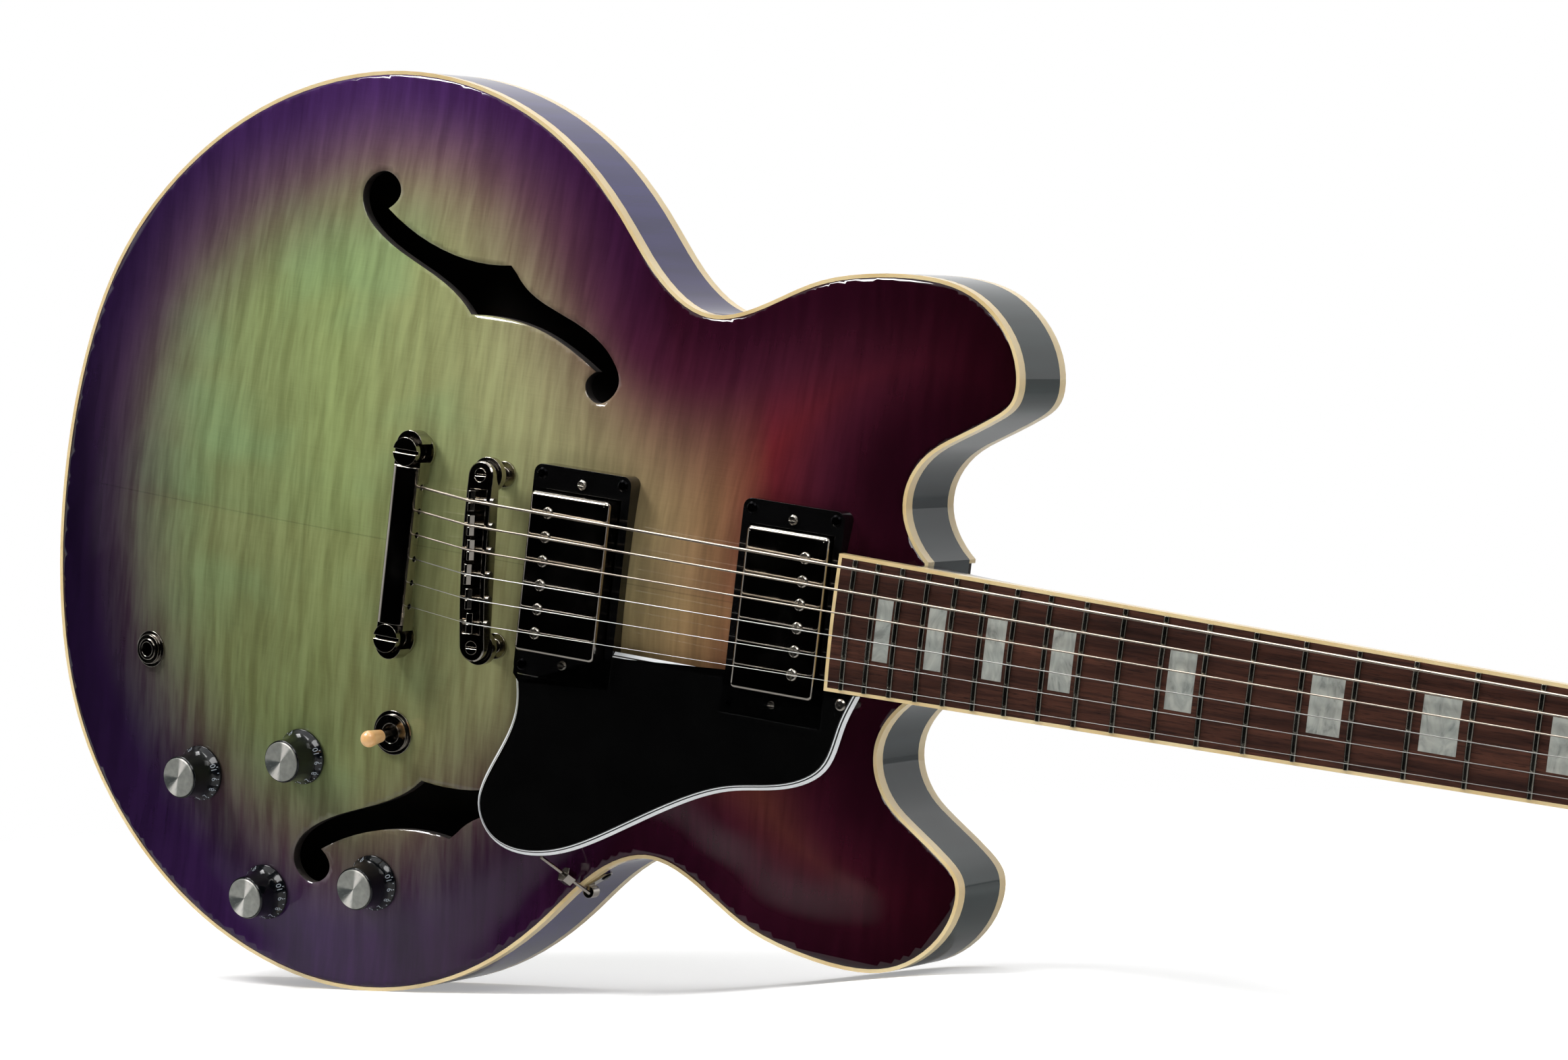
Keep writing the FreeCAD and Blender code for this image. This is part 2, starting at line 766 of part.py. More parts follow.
# Neck tenon and the tongue that carries the end of the fretboard
boardEnd = datum - size("boardOverhang")
boardUnderside = moved(boxBetween((0, -halfBout, -tall), (scale, halfBout, -board)), neckFrame)
tenon = boxBetween((rootX - size("tenonLength"), -size("tenonWidth") / 2, -size("tenonDepth")),
                   (rootX, size("tenonWidth") / 2, tall)).common(boardUnderside)
tongueHalf = boardHalf(boardEnd) - size("boardBindingWidth")
tongue = boxBetween((boardEnd, -tongueHalf, 0), (rootX, tongueHalf, tall))
tongue = tongue.common(boardUnderside).cut(underTop)

# Body shell


edgeDepth = plate + size("glueGap")
# Strap buttons stand at the middle of the tail and behind the heel
tailButtonFrame = Placement(Vector(-size("tailToBridge"), 0, -rimDepth / 2), Rotation(axisY, -90))
heelButtonFrame = standingFrame(Vector(rootX - size("tenonLength") / 2, 0, 0), backHeight, -1)
heelButtonFrame = heelButtonFrame.multiply(Placement(Vector(0, 0, size("glueGap")), Rotation()))


# The holes of the strap buttons' screws
def strapScrewHoles():
    reach = 2 * size("strapButtonLength")
    hole = Part.makeCylinder(size("woodScrewRadius"), 2 * reach, Vector(0, 0, -reach))
    return [moved(hole, frame) for frame in (tailButtonFrame, heelButtonFrame)]


strapHoles = strapScrewHoles()


def makePlates():
    outer = bodyPrism(size("bindingWidth") + size("runningGap"), -2 * rimDepth, tall)
    tools = [soundHole(side) for side in (-1, 1)] + controlHoles + bushingHoles + pickupHoles
    shaped("top_plate", [topSlab.common(outer).cut(tools + screwHoles + [tenon])])
    shaped("back_plate", [backSlab.common(outer).cut(strapHoles)])


def makeRims():
    inner = rootHalf - size("rimWall")
    ring = bodyPrism(0, edgeDepth - rimDepth, -edgeDepth).cut(bodyPrism(size("rimWall"), -tall, tall))
    neckGap = boxBetween((datum, -inner, -tall), (rootX + over, inner, tall))
    ring = ring.cut([neckGap] + strapHoles + screwHoles)
    reach = size("bodyLength")
    for side, name in ((1, "rim_bass"), (-1, "rim_treble")):
        half = boxBetween((-reach, min(0, side * reach), -tall), (reach, max(0, side * reach), tall))
        shaped(name, [ring.common(half)])


def makeBinding():
    strips = []
    for low in (-edgeDepth, -rimDepth):
        strip = bodyPrism(0, low, low + edgeDepth).cut(bodyPrism(size("bindingWidth"), -tall, tall))
        inner = rootHalf - size("bindingWidth")
        strips.append(strip.cut(boxBetween((datum, -inner, -tall), (rootX + over, inner, tall))))
    shaped("body_binding", strips)


def makeCentreBlock():
    half = size("blockWidth") / 2
    gap = size("glueGap")
    inside = bodyPrism(size("rimWall") + gap, -2 * rimDepth, tall)
    root = rootHalf - size("rimWall") - gap
    blank = boxBetween((-size("bodyLength"), -half, -2 * rimDepth), (size("bodyLength"), half, tall))
    blank = blank.common(inside)
    blank = blank.fuse(boxBetween((datum - plate, -root, plate - rimDepth), (rootX, root, -plate)))
    blank = blank.cut([aboveTopInside, belowBackInside])
    blank = blank.cut(pickupHoles + bushingHoles + screwHoles + [tenon] + strapHoles)
    shaped("centre_block", [blank.removeSplitter()])


# Neck


# One cross-section of the neck: flat under the board, round behind
def neckSection(x, half, depth, fullness):
    count = 8
    points = []
    for k in range(count + 1):
        turn = math.pi * k / count
        across = math.copysign(abs(math.cos(turn)) ** fullness, math.cos(turn))
        points.append(Vector(x, half * across, -board - depth * math.sin(turn) ** fullness))
    return Part.Wire([smoothEdge(points), Part.makeLine(points[-1], points[0])])


def neckBlank():
    root = neckFrame.inverse().multVec(Vector(rootX - plate, 0, 0)).x
    nutEnd = scale + size("nutThickness")
    deepest = -neckFrame.inverse().multVec(Vector(rootX, 0, -rimDepth)).z - board
    thin = size("neckDepthAtHeel")
    steps = 6
    sections = []
    for step in range(steps + 1):
        share = step / steps
        deep = (1 + math.cos(math.pi * share)) / 2
        x = root + share * size("heelLength")
        sections.append(neckSection(x, boardHalf(x), thin + deep * (deepest - thin), 1 - deep / 4))
    heel = Part.makeLoft(sections, True, False)
    atNut = neckSection(nutEnd, boardHalf(nutEnd), size("neckDepthAtNut"), 1)
    shaft = Part.makeLoft([sections[-1], atNut], True, True)
    return moved(heel.fuse(shaft), neckFrame)


def headBlank():
    length, half, thick = size("headLength"), size("headWidth") / 2, size("headThickness")
    side = [Vector(along * length, across * half, 0) for along, across in headShares]
    mirrored = [Vector(point.x, -point.y, 0) for point in side[-2::-1]]
    wire = Part.Wire([smoothEdge(side + mirrored), Part.makeLine(mirrored[-1], side[0])])
    return moved(Part.Face(wire).extrude(Vector(0, 0, -thick)), headFrame)


def trussRodLine():
    start = Vector(rootX - size("tenonLength") + plate, 0, -board - size("trussRodDepth"))
    end = Vector(scale + size("nutThickness") + plate / 2, 0, start.z)
    return neckFrame.multVec(start), neckFrame.multVec(end)


# Pocket in the headstock where the truss rod's nut is reached
def rodPocket():
    half = size("coverWidth") / 4
    return moved(boxBetween((plate / 2, -half, -size("headThickness") * 0.75),
                            (size("coverLength") * 0.6, half, over)), headFrame)


def makeNeck():
    body = boxBetween((-size("bodyLength"), -halfBout, -2 * rimDepth), (rootX, halfBout, 2 * tall))
    shaft = neckBlank().cut(body)
    neck = shaft.fuse([headBlank(), tenon, tongue]).removeSplitter()
    start, end = trussRodLine()
    holes = [moved(tunerHole(number), headFrame) for number in range(stringCount)]
    bore = rodBetween(start, end, size("trussRodRadius"))
    neck = neck.cut([bore, rodPocket()] + holes + screwHoles + strapHoles)
    shaped("neck", [neck])
    rod = rodBetween(start, end, size("trussRodRadius"))
    nut = moved(hexPrism(size("trussRodRadius") * 1.4, 0, 3 * size("trussRodRadius")),
                Placement(end, Rotation(axisZ, end - start)))
    shaped("truss_rod", [rod.fuse(nut)])


def tunerHole(number):
    x, y, _ = tunerPlace(number)
    return Part.makeCylinder(size("bushingRadius"), size("headThickness") + 2 * over,
                             Vector(x, y, -size("headThickness") - over))


# A plain rounded shield over the rod pocket
def makeTrussRodCover():
    length, half = size("coverLength"), size("coverWidth") / 2
    shares = [(0.0, 0.62), (0.05, 0.86), (0.30, 1.0), (0.62, 0.72), (0.88, 0.34), (1.0, 0.0)]
    side = [Vector(along * length, across * half, 0) for along, across in shares]
    mirrored = [Vector(point.x, -point.y, 0) for point in side[-2::-1]]
    wire = Part.Wire([smoothEdge(side + mirrored), Part.makeLine(mirrored[-1], side[0])])
    cover = Part.Face(wire).extrude(Vector(0, 0, size("coverThickness")))
    cover.translate(Vector(plate / 2, 0, 0))
    shaped("truss_rod_cover", [cover.cut(localHoles(headFrame))], headFrame)


# Fretboard


# The board's tapered plan, drawn in by a border, as a slab with its curved crown
def boardSlab(border, low, radius):
    start, end = boardEnd + border, scale
    corners = [Vector(start, boardHalf(start) - border, low), Vector(end, boardHalf(end) - border, low),
               Vector(end, border - boardHalf(end), low), Vector(start, border - boardHalf(start), low)]
    slab = Part.Face(Part.makePolygon(corners + corners[:1])).extrude(Vector(0, 0, tall))
    centre = Vector(boardEnd - over, 0, -size("boardRadius"))
    return slab.common(Part.makeCylinder(radius, scale, centre, axisX))


def inlayBlocks(low, high):
    blocks = []
    for number in inlayFrets:
        near, far = fretPlace(number), fretPlace(number - 1)
        middle, half = (near + far) / 2, (far - near) * inlayLengthShare / 2
        across = boardHalf(middle) * inlayWidthShare
        blocks.append(boxBetween((middle - half, -across, low), (middle + half, across, high)))
    return blocks


def makeFretboard():
    crown = size("boardRadius")
    edge = size("boardBindingWidth")
    pockets = inlayBlocks(-size("inlayDepth") - crownDrop(boardHalf(scale) / 2), over)
    inner = boardSlab(edge, -board, crown)
    shaped("position_inlays", [inner.common(block) for block in pockets], neckFrame)
    shaped("fretboard", [inner.cut(pockets)], neckFrame)
    rimStrip = boardSlab(0, -board, crown).cut(boardSlab(edge, -board - over, crown + tall))
    shaped("fretboard_binding", [rimStrip], neckFrame)


def makeFrets():
    wide, high, crown = size("fretWidth") / 2, size("fretHeight"), size("boardRadius")
    frets = []
    for number in range(1, int(size("fretCount")) + 1):
        x = fretPlace(number)
        arc = Part.Arc(Vector(x - wide, 0, 0), Vector(x, 0, high), Vector(x + wide, 0, 0)).toShape()
        face = Part.Face(Part.Wire([arc, Part.makeLine(Vector(x + wide, 0, 0), Vector(x - wide, 0, 0))]))
        sweep = 2 * math.degrees(math.asin((boardHalf(x) - size("boardBindingWidth")) / crown))
        centre = Vector(x, 0, -crown)
        face.rotate(centre, axisX, -sweep / 2)
        frets.append(face.revolve(centre, axisX, sweep))
    shaped("frets", frets, neckFrame)


# Place across, height and radius of each string over the nut
def nutNotches():
    notches = []
    for number, radius in enumerate(stringRadii):
        y = size("nutSpread") / 2 - number * size("nutSpread") / (stringCount - 1)
        notches.append((y, size("stringAtNut") + radius - crownDrop(y), radius))
    return notches


# The same over the saddles, with the distance from the bridge line
def saddleNotches():
    notches = []
    for number, radius in enumerate(stringRadii):
        y = size("bridgeSpread") / 2 - number * size("bridgeSpread") / (stringCount - 1)
        point = neckFrame.multVec(Vector(0, y, size("stringAtBridge") + radius - crownDrop(y)))
        local = bridgeFrame.inverse().multVec(point)
        offset = saddleShares[number] * size("saddleTravel")
        notches.append((Vector(offset, local.y, local.z), radius))
    return notches


# A turned body: a revolution of a closed profile of (radius, height) expressions round Z
def turnedBody(name, profile):
    body = newBody(name)
    sketch = newSketch(body, "XZ_Plane")
    corners = [Vector(float(sheet.evalExpression(across)), float(sheet.evalExpression(up)), 0)
               for across, up in profile]
    polyline(sketch, corners)
    for k, (across, up) in enumerate(profile):
        sides = (("DistanceX", across, corners[k].x), ("DistanceY", up, corners[k].y))
        for kind, expression, value in sides:
            index = sketch.addConstraint(Sketcher.Constraint(kind, -1, 1, k, 1, value))
            if value != 0:
                sketch.setExpression(f"Constraints[{index}]", expression)
    turning = body.newObject("PartDesign::Revolution", name + "_turned")
    turning.Profile = sketch
    turning.ReferenceAxis = (sketch, ["V_Axis"])
    turning.Angle = 360
    body.Tip = turning
    doc.recompute()
    return body


# Discs on one axis, each with its radius, low and high as expressions, fused into one
def discStack(name, discs):
    solids = []
    for number, (radius, low, high) in enumerate(discs, start=1):
        disc = bound("Part::Cylinder", f"{name}_{number}", Radius=radius, Height=f"({high}) - ({low})")
        disc.setExpression(".Placement.Base.z", low)
        solids.append(disc)
    if len(solids) == 1:
        return solids[0]
    stack = doc.addObject("Part::MultiFuse", name)
    stack.Shapes = solids
    return stack


# One document object cut from another
def cutFrom(name, base, tool):
    piece = doc.addObject("Part::Cut", name)
    piece.Base, piece.Tool = base, tool
    return piece


# Tuners. A worm on each button's shaft turns the wheel on each string post


def tunerHousing(number):
    x, y, side = tunerPlace(number)
    back, wall = -size("headThickness"), size("housingWall")
    half, inner, deep = size("housingLength") / 2, size("housingWidth") / 2, size("housingHeight")
    middle = x + wormOffset / 2
    box = boxBetween((middle - half, y - inner, back - deep), (middle + half, y + inner, back))
    room = boxBetween((middle - half + wall, y - inner + wall, back - deep + wall),
                      (middle + half - wall, y + inner - wall, back - wall))
    bushing = Part.makeCylinder(size("bushingRadius"), size("headThickness"), Vector(x, y, back))
    flange = Part.makeCylinder(size("bushingFlange"), size("bushingFlangeHeight"), Vector(x, y, 0))
    bore = Part.makeCylinder(size("postRadius") + size("runningGap"), tall, Vector(x, y, back - wall - over))
    wormLevel = Vector(x + wormOffset, y, back - deep / 2)
    shaftBore = rodBetween(wormLevel, wormLevel + Vector(0, side * 2 * inner, 0),
                           size("shaftRadius") + size("runningGap"))
    return box.cut(room).fuse([bushing, flange]).cut([bore, shaftBore])


def makeTuners():
    shaped("tuner_housings", [tunerHousing(number) for number in range(stringCount)], headFrame)
    for number in range(stringCount):
        makePost(number)
        makeButton(number)


def makePost(number):
    x, y, _ = tunerPlace(number)
    name = f"tuner_post_{number + 1}"
    wheelMiddle = "-sizes.headThickness - sizes.housingHeight / 2"
    low, high = f"{wheelMiddle} - sizes.wheelWidth / 2", f"{wheelMiddle} + sizes.wheelWidth / 2"
    solid = discStack(name + "_solid", [("sizes.postRadius", low, "sizes.postHeight"),
                                        ("sizes.wheelRadius", low, high)])
    hole = bound("Part::Cylinder", name + "_hole", Radius="sizes.stringHole", Height="4 * sizes.postRadius")
    hole.Placement.Rotation = Rotation(axisX, 90)
    hole.setExpression(".Placement.Base.y", "2 * sizes.postRadius")
    hole.setExpression(".Placement.Base.z", "sizes.windingHeight")
    settle(cutFrom(name, solid, hole), name, headFrame.multiply(Placement(Vector(x, y, 0), Rotation())))


# A button with a rounded thumb piece on the end of its worm's shaft. Local Y runs outwards
def makeButton(number):
    x, y, side = tunerPlace(number)
    inner = size("housingWidth") / 2 - size("housingWall") - size("movingGap")
    reach = size("headWidth") / 2 + size("buttonReach") - abs(y)
    shaft = rodBetween(Vector(0, -inner, 0), Vector(0, reach, 0), size("shaftRadius"))
    worm = rodBetween(Vector(0, -inner, 0), Vector(0, inner, 0), size("wormRadius"))
    long, wide, thick = size("buttonLength") / 2, size("buttonWidth") / 2, size("buttonThickness") / 2
    stretch = FreeCAD.Matrix()
    stretch.scale(wide, long, thick)
    thumb = Part.makeSphere(1).transformGeometry(stretch)
    thumb.translate(Vector(0, reach, 0))
    collar = Part.makeCone(thick * 0.8, thick * 0.6, long / 2, Vector(0, reach - long - thick / 2, 0), axisY)
    turn = Rotation() if side > 0 else Rotation(axisX, 180)
    level = -size("headThickness") - size("housingHeight") / 2
    shaped(f"tuner_button_{number + 1}", [shaft.fuse([worm, thumb, collar])],
           headFrame.multiply(Placement(Vector(x + wormOffset, y, level), turn)))


# Strings

ballX = 2 * size("ballRadius") - size("tailpieceOffset") - size("tailpieceWidth") / 2
exitX = size("tailpieceWidth") / 2 - size("tailpieceOffset") + size("ballRadius") / 2


# An arc that leaves a point one way and ends at another point
def arcFrom(start, way, end):
    chord = end - start
    along = Vector(chord).normalize()
    across = way - along * way.dot(along)
    if across.Length < 1e-9:
        return Part.makeLine(start, end)
    turn = math.acos(max(-1, min(1, way.dot(along))))
    middle = (start + end) / 2 + Vector(across).normalize() * (chord.Length / 2 * math.tan(turn / 2))
    return Part.Arc(start, middle, end).toShape()


# Two arcs that join two points and keep both directions
def biarc(start, startWay, end, endWay):
    chord = end - start
    ways = chord.dot(startWay + endWay)
    spread = 2 * (1 - startWay.dot(endWay))
    reach = (math.sqrt(ways * ways + spread * chord.dot(chord)) - ways) / spread
    joint = (start + end + (startWay - endWay) * reach) / 2
    return [arcFrom(start, startWay, joint), reversedArc(joint, endWay, end)]


# An arc that reaches its end point one way
def reversedArc(start, way, end):
    arc = arcFrom(end, way * -1, start)
    return Part.Arc(start, arc.valueAt((arc.FirstParameter + arc.LastParameter) / 2), end).toShape()


# Straight runs between points, joined by arcs of one radius
def bentRuns(points, radius):
    edges, start = [], points[0]
    for before, corner, after in zip(points, points[1:], points[2:]):
        wayIn = Vector(corner - before).normalize()
        wayOut = Vector(after - corner).normalize()
        reach = radius * math.tan(math.acos(min(1, wayIn.dot(wayOut))) / 2)
        bendStart, bendEnd = corner - wayIn * reach, corner + wayOut * reach
        edges += [Part.makeLine(start, bendStart), arcFrom(bendStart, wayIn, bendEnd)]
        start = bendEnd
    return edges + [Part.makeLine(start, points[-1])]


# A string's corners: its ball, the tailpiece's edge, its saddle and the nut, with its winding's
# middle and the direction in which it reaches its post.
# Every string is worked out on the bass side and mirrored where it belongs on the other
def stringCorners(number):
    nutY, nutZ, _ = nutNotches()[number]
    saddle = bridgeFrame.multVec(saddleNotches()[number][0])
    side = tunerPlace(number)[2]
    ball = Vector(ballX, saddle.y, size("tailpieceTop") - size("tailpieceHole"))
    leaves = Vector(exitX, ball.y, ball.z)
    nut = neckFrame.multVec(Vector(scale + size("nutThickness") / 2, nutY, nutZ))
    mirrored = [Vector(point.x, side * point.y, point.z) for point in (ball, leaves, saddle, nut)]
    postX, postY, _ = tunerPlace(number)
    start = headFrame.inverse().multVec(mirrored[-1])
    away = Vector(postX - start.x, abs(postY) - start.y, 0)
    heading = math.atan2(away.y, away.x) - math.asin(windingRadius(number) / away.Length)
    centre = Vector(postX, abs(postY), size("windingHeight"))
    return mirrored, centre, heading, side


def windingRadius(number):
    return size("postRadius") + size("movingGap") + stringRadii[number]


# Points and directions down a winding, a quarter of a turn apart
def windingStations(number):
    _, centre, heading, _ = stringCorners(number)
    radius = windingRadius(number)
    drop = (2 * stringRadii[number] + size("windingGap")) / 4
    stations = []
    for quarter in range(int(4 * size("windingTurns")) + 1):
        turn = heading + (quarter - 1) * math.pi / 2
        point = centre + Vector(radius * math.cos(turn), radius * math.sin(turn), -drop * quarter)
        way = Vector(-math.sin(turn), math.cos(turn), -drop / (radius * math.pi / 2)).normalize()
        stations.append((headFrame.multVec(point), headFrame.Rotation.multVec(way)))
    return stations


def stringEdges(number):
    corners, _, _, _ = stringCorners(number)
    stations = windingStations(number)
    edges = bentRuns(corners + [stations[0][0]], size("stringBend"))
    way = Vector(stations[0][0] - corners[-1]).normalize()
    for (start, _), (end, endWay) in zip(stations, stations[1:]):
        edges += biarc(start, way, end, endWay)
        way = endWay
    return edges


def makeString(number):
    edges = stringEdges(number)
    start = edges[0].Vertexes[0].Point
    heading = edges[0].Vertexes[-1].Point - start
    section = Part.Wire(Part.makeCircle(stringRadii[number], start, heading))
    tube = Part.Wire(edges).makePipeShell([section], True, False)
    ball = moved(Part.makeSphere(size("ballRadius")), Placement(start, Rotation(axisZ, 180)))
    string = tube.fuse(ball)
    if tunerPlace(number)[2] < 0:
        string = string.mirror(Vector(), axisY)
    return string


# Least gap between the turns of a winding, measured on points of its line
def windingGap(number):
    points = [edge.valueAt(edge.FirstParameter + share * (edge.LastParameter - edge.FirstParameter))
              for edge in stringEdges(number)[-8 * int(size("windingTurns")):] for share in (0, 0.5)]
    turn = len(points) // int(size("windingTurns"))
    near = min(first.distanceToPoint(second) for k, first in enumerate(points)
               for second in points[k + turn // 2:])
    return near - 2 * stringRadii[number]


def makeStrings():
    shaped("strings", [makeString(number) for number in range(stringCount)])
    least = min(windingGap(number) for number in range(stringCount))
    print("least gap between turns of a winding", round(least, 3))


# The nut's slots follow each string along the neck and down to its post
def makeNut():
    thick = size("nutThickness")
    half = size("nutWidth") / 2
    block = boxBetween((scale, -half, -board), (scale + thick, half, tall))
    crown = Part.makeCylinder(size("boardRadius") + size("nutRise"), 2 * thick,
                              Vector(scale - over, 0, -size("boardRadius")), axisX)
    slots = []
    for number, (y, z, radius) in enumerate(nutNotches()):
        side = tunerPlace(number)[2]
        winding = windingStations(number)[0][0]
        winding = neckFrame.inverse().multVec(Vector(winding.x, side * winding.y, winding.z))
        corner = Vector(scale + thick / 2, y, z)
        slots.append(rodBetween(Vector(scale - over, y, z), corner, radius + size("runningGap")))
        slots.append(rodBetween(corner, winding, radius + size("runningGap")))
        slots.append(Part.makeSphere(radius + size("runningGap"), corner))
    shaped("nut", [block.common(crown).cut(slots)], neckFrame)


# Bridge


def saddleScrewLevel():
    return -(size("saddleDepth") + size("saddleScrewRadius")) / 2


def makeBridge():
    long, wide, high = size("bridgeLength") / 2, size("bridgeWidth") / 2, size("bridgeHeight")
    bar = boxBetween((-wide, wide - long, -high), (wide, long - wide, over))
    ends = [Part.makeCylinder(wide, high + over, Vector(0, side * (long - wide), -high)) for side in (-1, 1)]
    crown = Part.makeCylinder(size("boardRadius"), 2 * wide + 2 * over,
                              Vector(-wide - over, 0, -size("boardRadius")), axisX)
    body = bar.fuse(ends).common(crown).removeSplitter()
    edges = [edge for edge in body.Edges if edge.CenterOfMass.z > -crownDrop(long) - size("bridgeRound")]
    body = body.makeChamfer(size("bridgeRound"), edges)
    half = size("saddleChannel") / 2
    end = (size("bridgeSpread") + size("saddleWidth")) / 2 + size("movingGap")
    tools = [boxBetween((-half, -end, -size("saddleDepth")), (half, end, over))]
    for local, _ in saddleNotches():
        tools.append(rodBetween(Vector(-wide - over, local.y, saddleScrewLevel()),
                                Vector(wide + over, local.y, saddleScrewLevel()), size("saddleScrewRadius")))
    for side in (-1, 1):
        tools.append(Part.makeCylinder(size("bridgePostRadius"), 2 * tall,
                                       Vector(0, side * size("bridgePostSpan") / 2, -tall)))
    shaped("bridge_body", [body.cut(tools)], bridgeFrame)


# Angle at which a string comes down from its saddle to the tailpiece
def stringBreak(number):
    (_, leaves, saddle, _), _, _, _ = stringCorners(number)
    return math.atan2(saddle.z - leaves.z, saddle.x - leaves.x)


# A saddle is a ridge whose notch slopes with its string and clears it over the whole travel
def makeSaddles():
    floor = size("runningGap") - size("saddleDepth")
    half, wide = size("saddleLength") / 2, (size("saddleWidth") - size("movingGap")) / 2
    crest = half / 3
    for number, (local, radius) in enumerate(saddleNotches()):
        top, shoulder = local.z + radius / 2, local.z / 2
        points = [Vector(-half, -wide, floor), Vector(half, -wide, floor), Vector(half, -wide, shoulder),
                  Vector(crest, -wide, top), Vector(-crest, -wide, top), Vector(-half, -wide, shoulder)]
        saddle = Part.Face(Part.makePolygon(points + points[:1])).extrude(Vector(0, 2 * wide, 0))
        side = radius + size("movingGap")
        level = local.z - radius - size("movingGap") / 2
        notch = boxBetween((-half - over, -side, level), (half + over, side, top + 2 * over))
        notch.rotate(Vector(size("saddleTravel"), 0, level), axisY, -math.degrees(stringBreak(number)))
        start, end = Vector(-half - over, 0, saddleScrewLevel()), Vector(half + over, 0, saddleScrewLevel())
        hole = rodBetween(start, end, size("saddleScrewRadius") + size("runningGap"))
        place = bridgeFrame.multiply(Placement(Vector(local.x, local.y, 0), Rotation()))
        shaped(f"saddle_{number + 1}", [saddle.cut([notch, hole])], place)


# Saddle screws lie across the bridge with their heads on the neck side
def makeSaddleScrews():
    wide, level = size("bridgeWidth") / 2, saddleScrewLevel()
    screws = []
    for local, _ in saddleNotches():
        end = Vector(wide, local.y, level)
        shank = rodBetween(Vector(-wide, local.y, level), end, size("saddleScrewRadius"))
        head = rodBetween(end, end + Vector(size("saddleHeadLength"), 0, 0), size("saddleHeadRadius"))
        screws.append(shank.fuse(head))
    shaped("saddle_screws", screws, bridgeFrame)


# A slot across the top of a screw head
def screwSlot(radius, top):
    half = radius / 7
    return boxBetween((-radius - over, -half, top - radius / 4), (radius + over, half, top + over))


def makeBridgePosts():
    solids = []
    radius, nut, collar = size("bridgePostRadius"), size("wheelNutRadius"), size("bridgeBushingRadius")
    shelf = -size("bridgeHeight")
    foot = shelf - size("wheelNutHeight")
    for place in bridgePosts:
        local = bridgeFrame.inverse().multVec(place)
        top = -crownDrop(local.y)
        ground = topHeight(place.x, place.y) - size("bridgeTop")
        post = turned([(0, top), (radius, top), (radius, shelf), (nut, shelf), (nut, foot), (radius, foot),
                       (radius, ground - bushingDepth / 2), (0, ground - bushingDepth / 2)])
        sleeve = turned([(radius, ground - bushingDepth / 2), (collar, ground - bushingDepth / 2),
                         (collar, ground + size("bushingLip")), (radius, ground + size("bushingLip"))])
        for solid in (post.cut(screwSlot(radius, top)), sleeve):
            solid.translate(Vector(0, local.y, 0))
            solids.append(solid)
    shaped("bridge_posts", solids, bridgeFrame)


# Tailpiece


def makeTailpiece():
    body = newBody("tailpiece_bar")
    sketch = newSketch(body, "XY_Plane")
    length = "sizes.tailStudSpan - 2 * sizes.tailStudHead - 2 * sizes.movingGap"
    bar = float(sheet.evalExpression(length))
    centredRectangle(sketch, size("tailpieceWidth"), bar, "sizes.tailpieceWidth", length)
    pad = body.newObject("PartDesign::Pad", "tailpiece_pad")
    pad.Profile = sketch
    pad.Reversed = True
    pad.setExpression("Length", "sizes.tailpieceHeight")
    doc.recompute()
    rounding = body.newObject("PartDesign::Fillet", "tailpiece_rounding")
    rounding.Base = (pad, edgesAlong(pad.Shape, axisY))
    rounding.setExpression("Radius", "sizes.tailpieceRound")
    body.Tip = rounding
    doc.recompute()
    long, wide, high = size("tailpieceLength") / 2, size("tailpieceWidth") / 2, size("tailpieceHeight")
    span, shank = size("tailStudSpan") / 2, size("tailStudShank")
    barEnd = span - size("tailStudHead") - size("movingGap")
    low, top = -high, -size("studNeckTop")
    lugs = []
    for side in (-1, 1):
        near, far = sorted((side * (barEnd - wide), side * (long - wide)))
        lug = boxBetween((-wide, near, low), (wide, far, top))
        end = Part.makeCylinder(wide, top - low, Vector(0, side * (long - wide), low))
        slot = boxBetween((0, side * span - shank, -tall), (2 * wide, side * span + shank, tall))
        bore = Part.makeCylinder(shank, 2 * tall, Vector(0, side * span, -tall))
        lugs.append(lug.fuse(end).cut([slot, bore]))
    holes = []
    for local, radius in saddleNotches():
        start = Vector(-wide - over, bridgeFrame.multVec(local).y, -size("tailpieceHole"))
        holes.append(rodBetween(start, start + Vector(2 * tall, 0, 0), size("ballRadius") * 0.7))
        seat = Vector(ballX + size("tailpieceOffset") + size("ballRadius"), start.y, start.z)
        holes.append(rodBetween(start, seat, size("ballRadius")))
    shaped("tailpiece", [body.Shape.fuse(lugs).cut(holes).removeSplitter()], tailFrame)


def makeTailpieceStuds():
    head, shank, collar = size("tailStudHead"), size("tailStudShank"), size("tailStudCollar")
    sleeve, high = size("tailBushingRadius"), size("tailpieceHeight")
    top, low = -size("studNeckTop"), -high - size("studCollarHeight")
    solids = []
    for place in tailPosts:
        ground = topHeight(place.x, place.y) - size("tailpieceTop")
        foot = ground - bushingDepth / 2
        stud = turned([(0, 0), (head, 0), (head, top), (shank, top), (shank, -high), (collar, -high),
                       (collar, low), (shank, low), (shank, foot), (0, foot)])
        bushing = turned([(shank, foot), (sleeve, foot), (sleeve, ground + size("bushingLip")),
                          (shank, ground + size("bushingLip"))])
        for solid in (stud.cut(screwSlot(head, 0)), bushing):
            solid.translate(Vector(0, place.y, 0))
            solids.append(solid)
    shaped("tailpiece_studs", solids, tailFrame)


# Pickups


def makePickup(prefix, centre, ringTop, coverTop, polePitch, poleSide):
    frame = pickupFrame(centre, ringTop, coverTop - ringTop)
    poles = [Vector(poleSide * size("poleOffset"), ((stringCount - 1) / 2 - number) * polePitch, 0)
             for number in range(stringCount)]
    makeRing(prefix, pickupFrame(centre, ringTop))
    makeCover(prefix, frame, poles)
    makeCoils(prefix, frame, poles)
    makePoles(prefix, frame, poles)


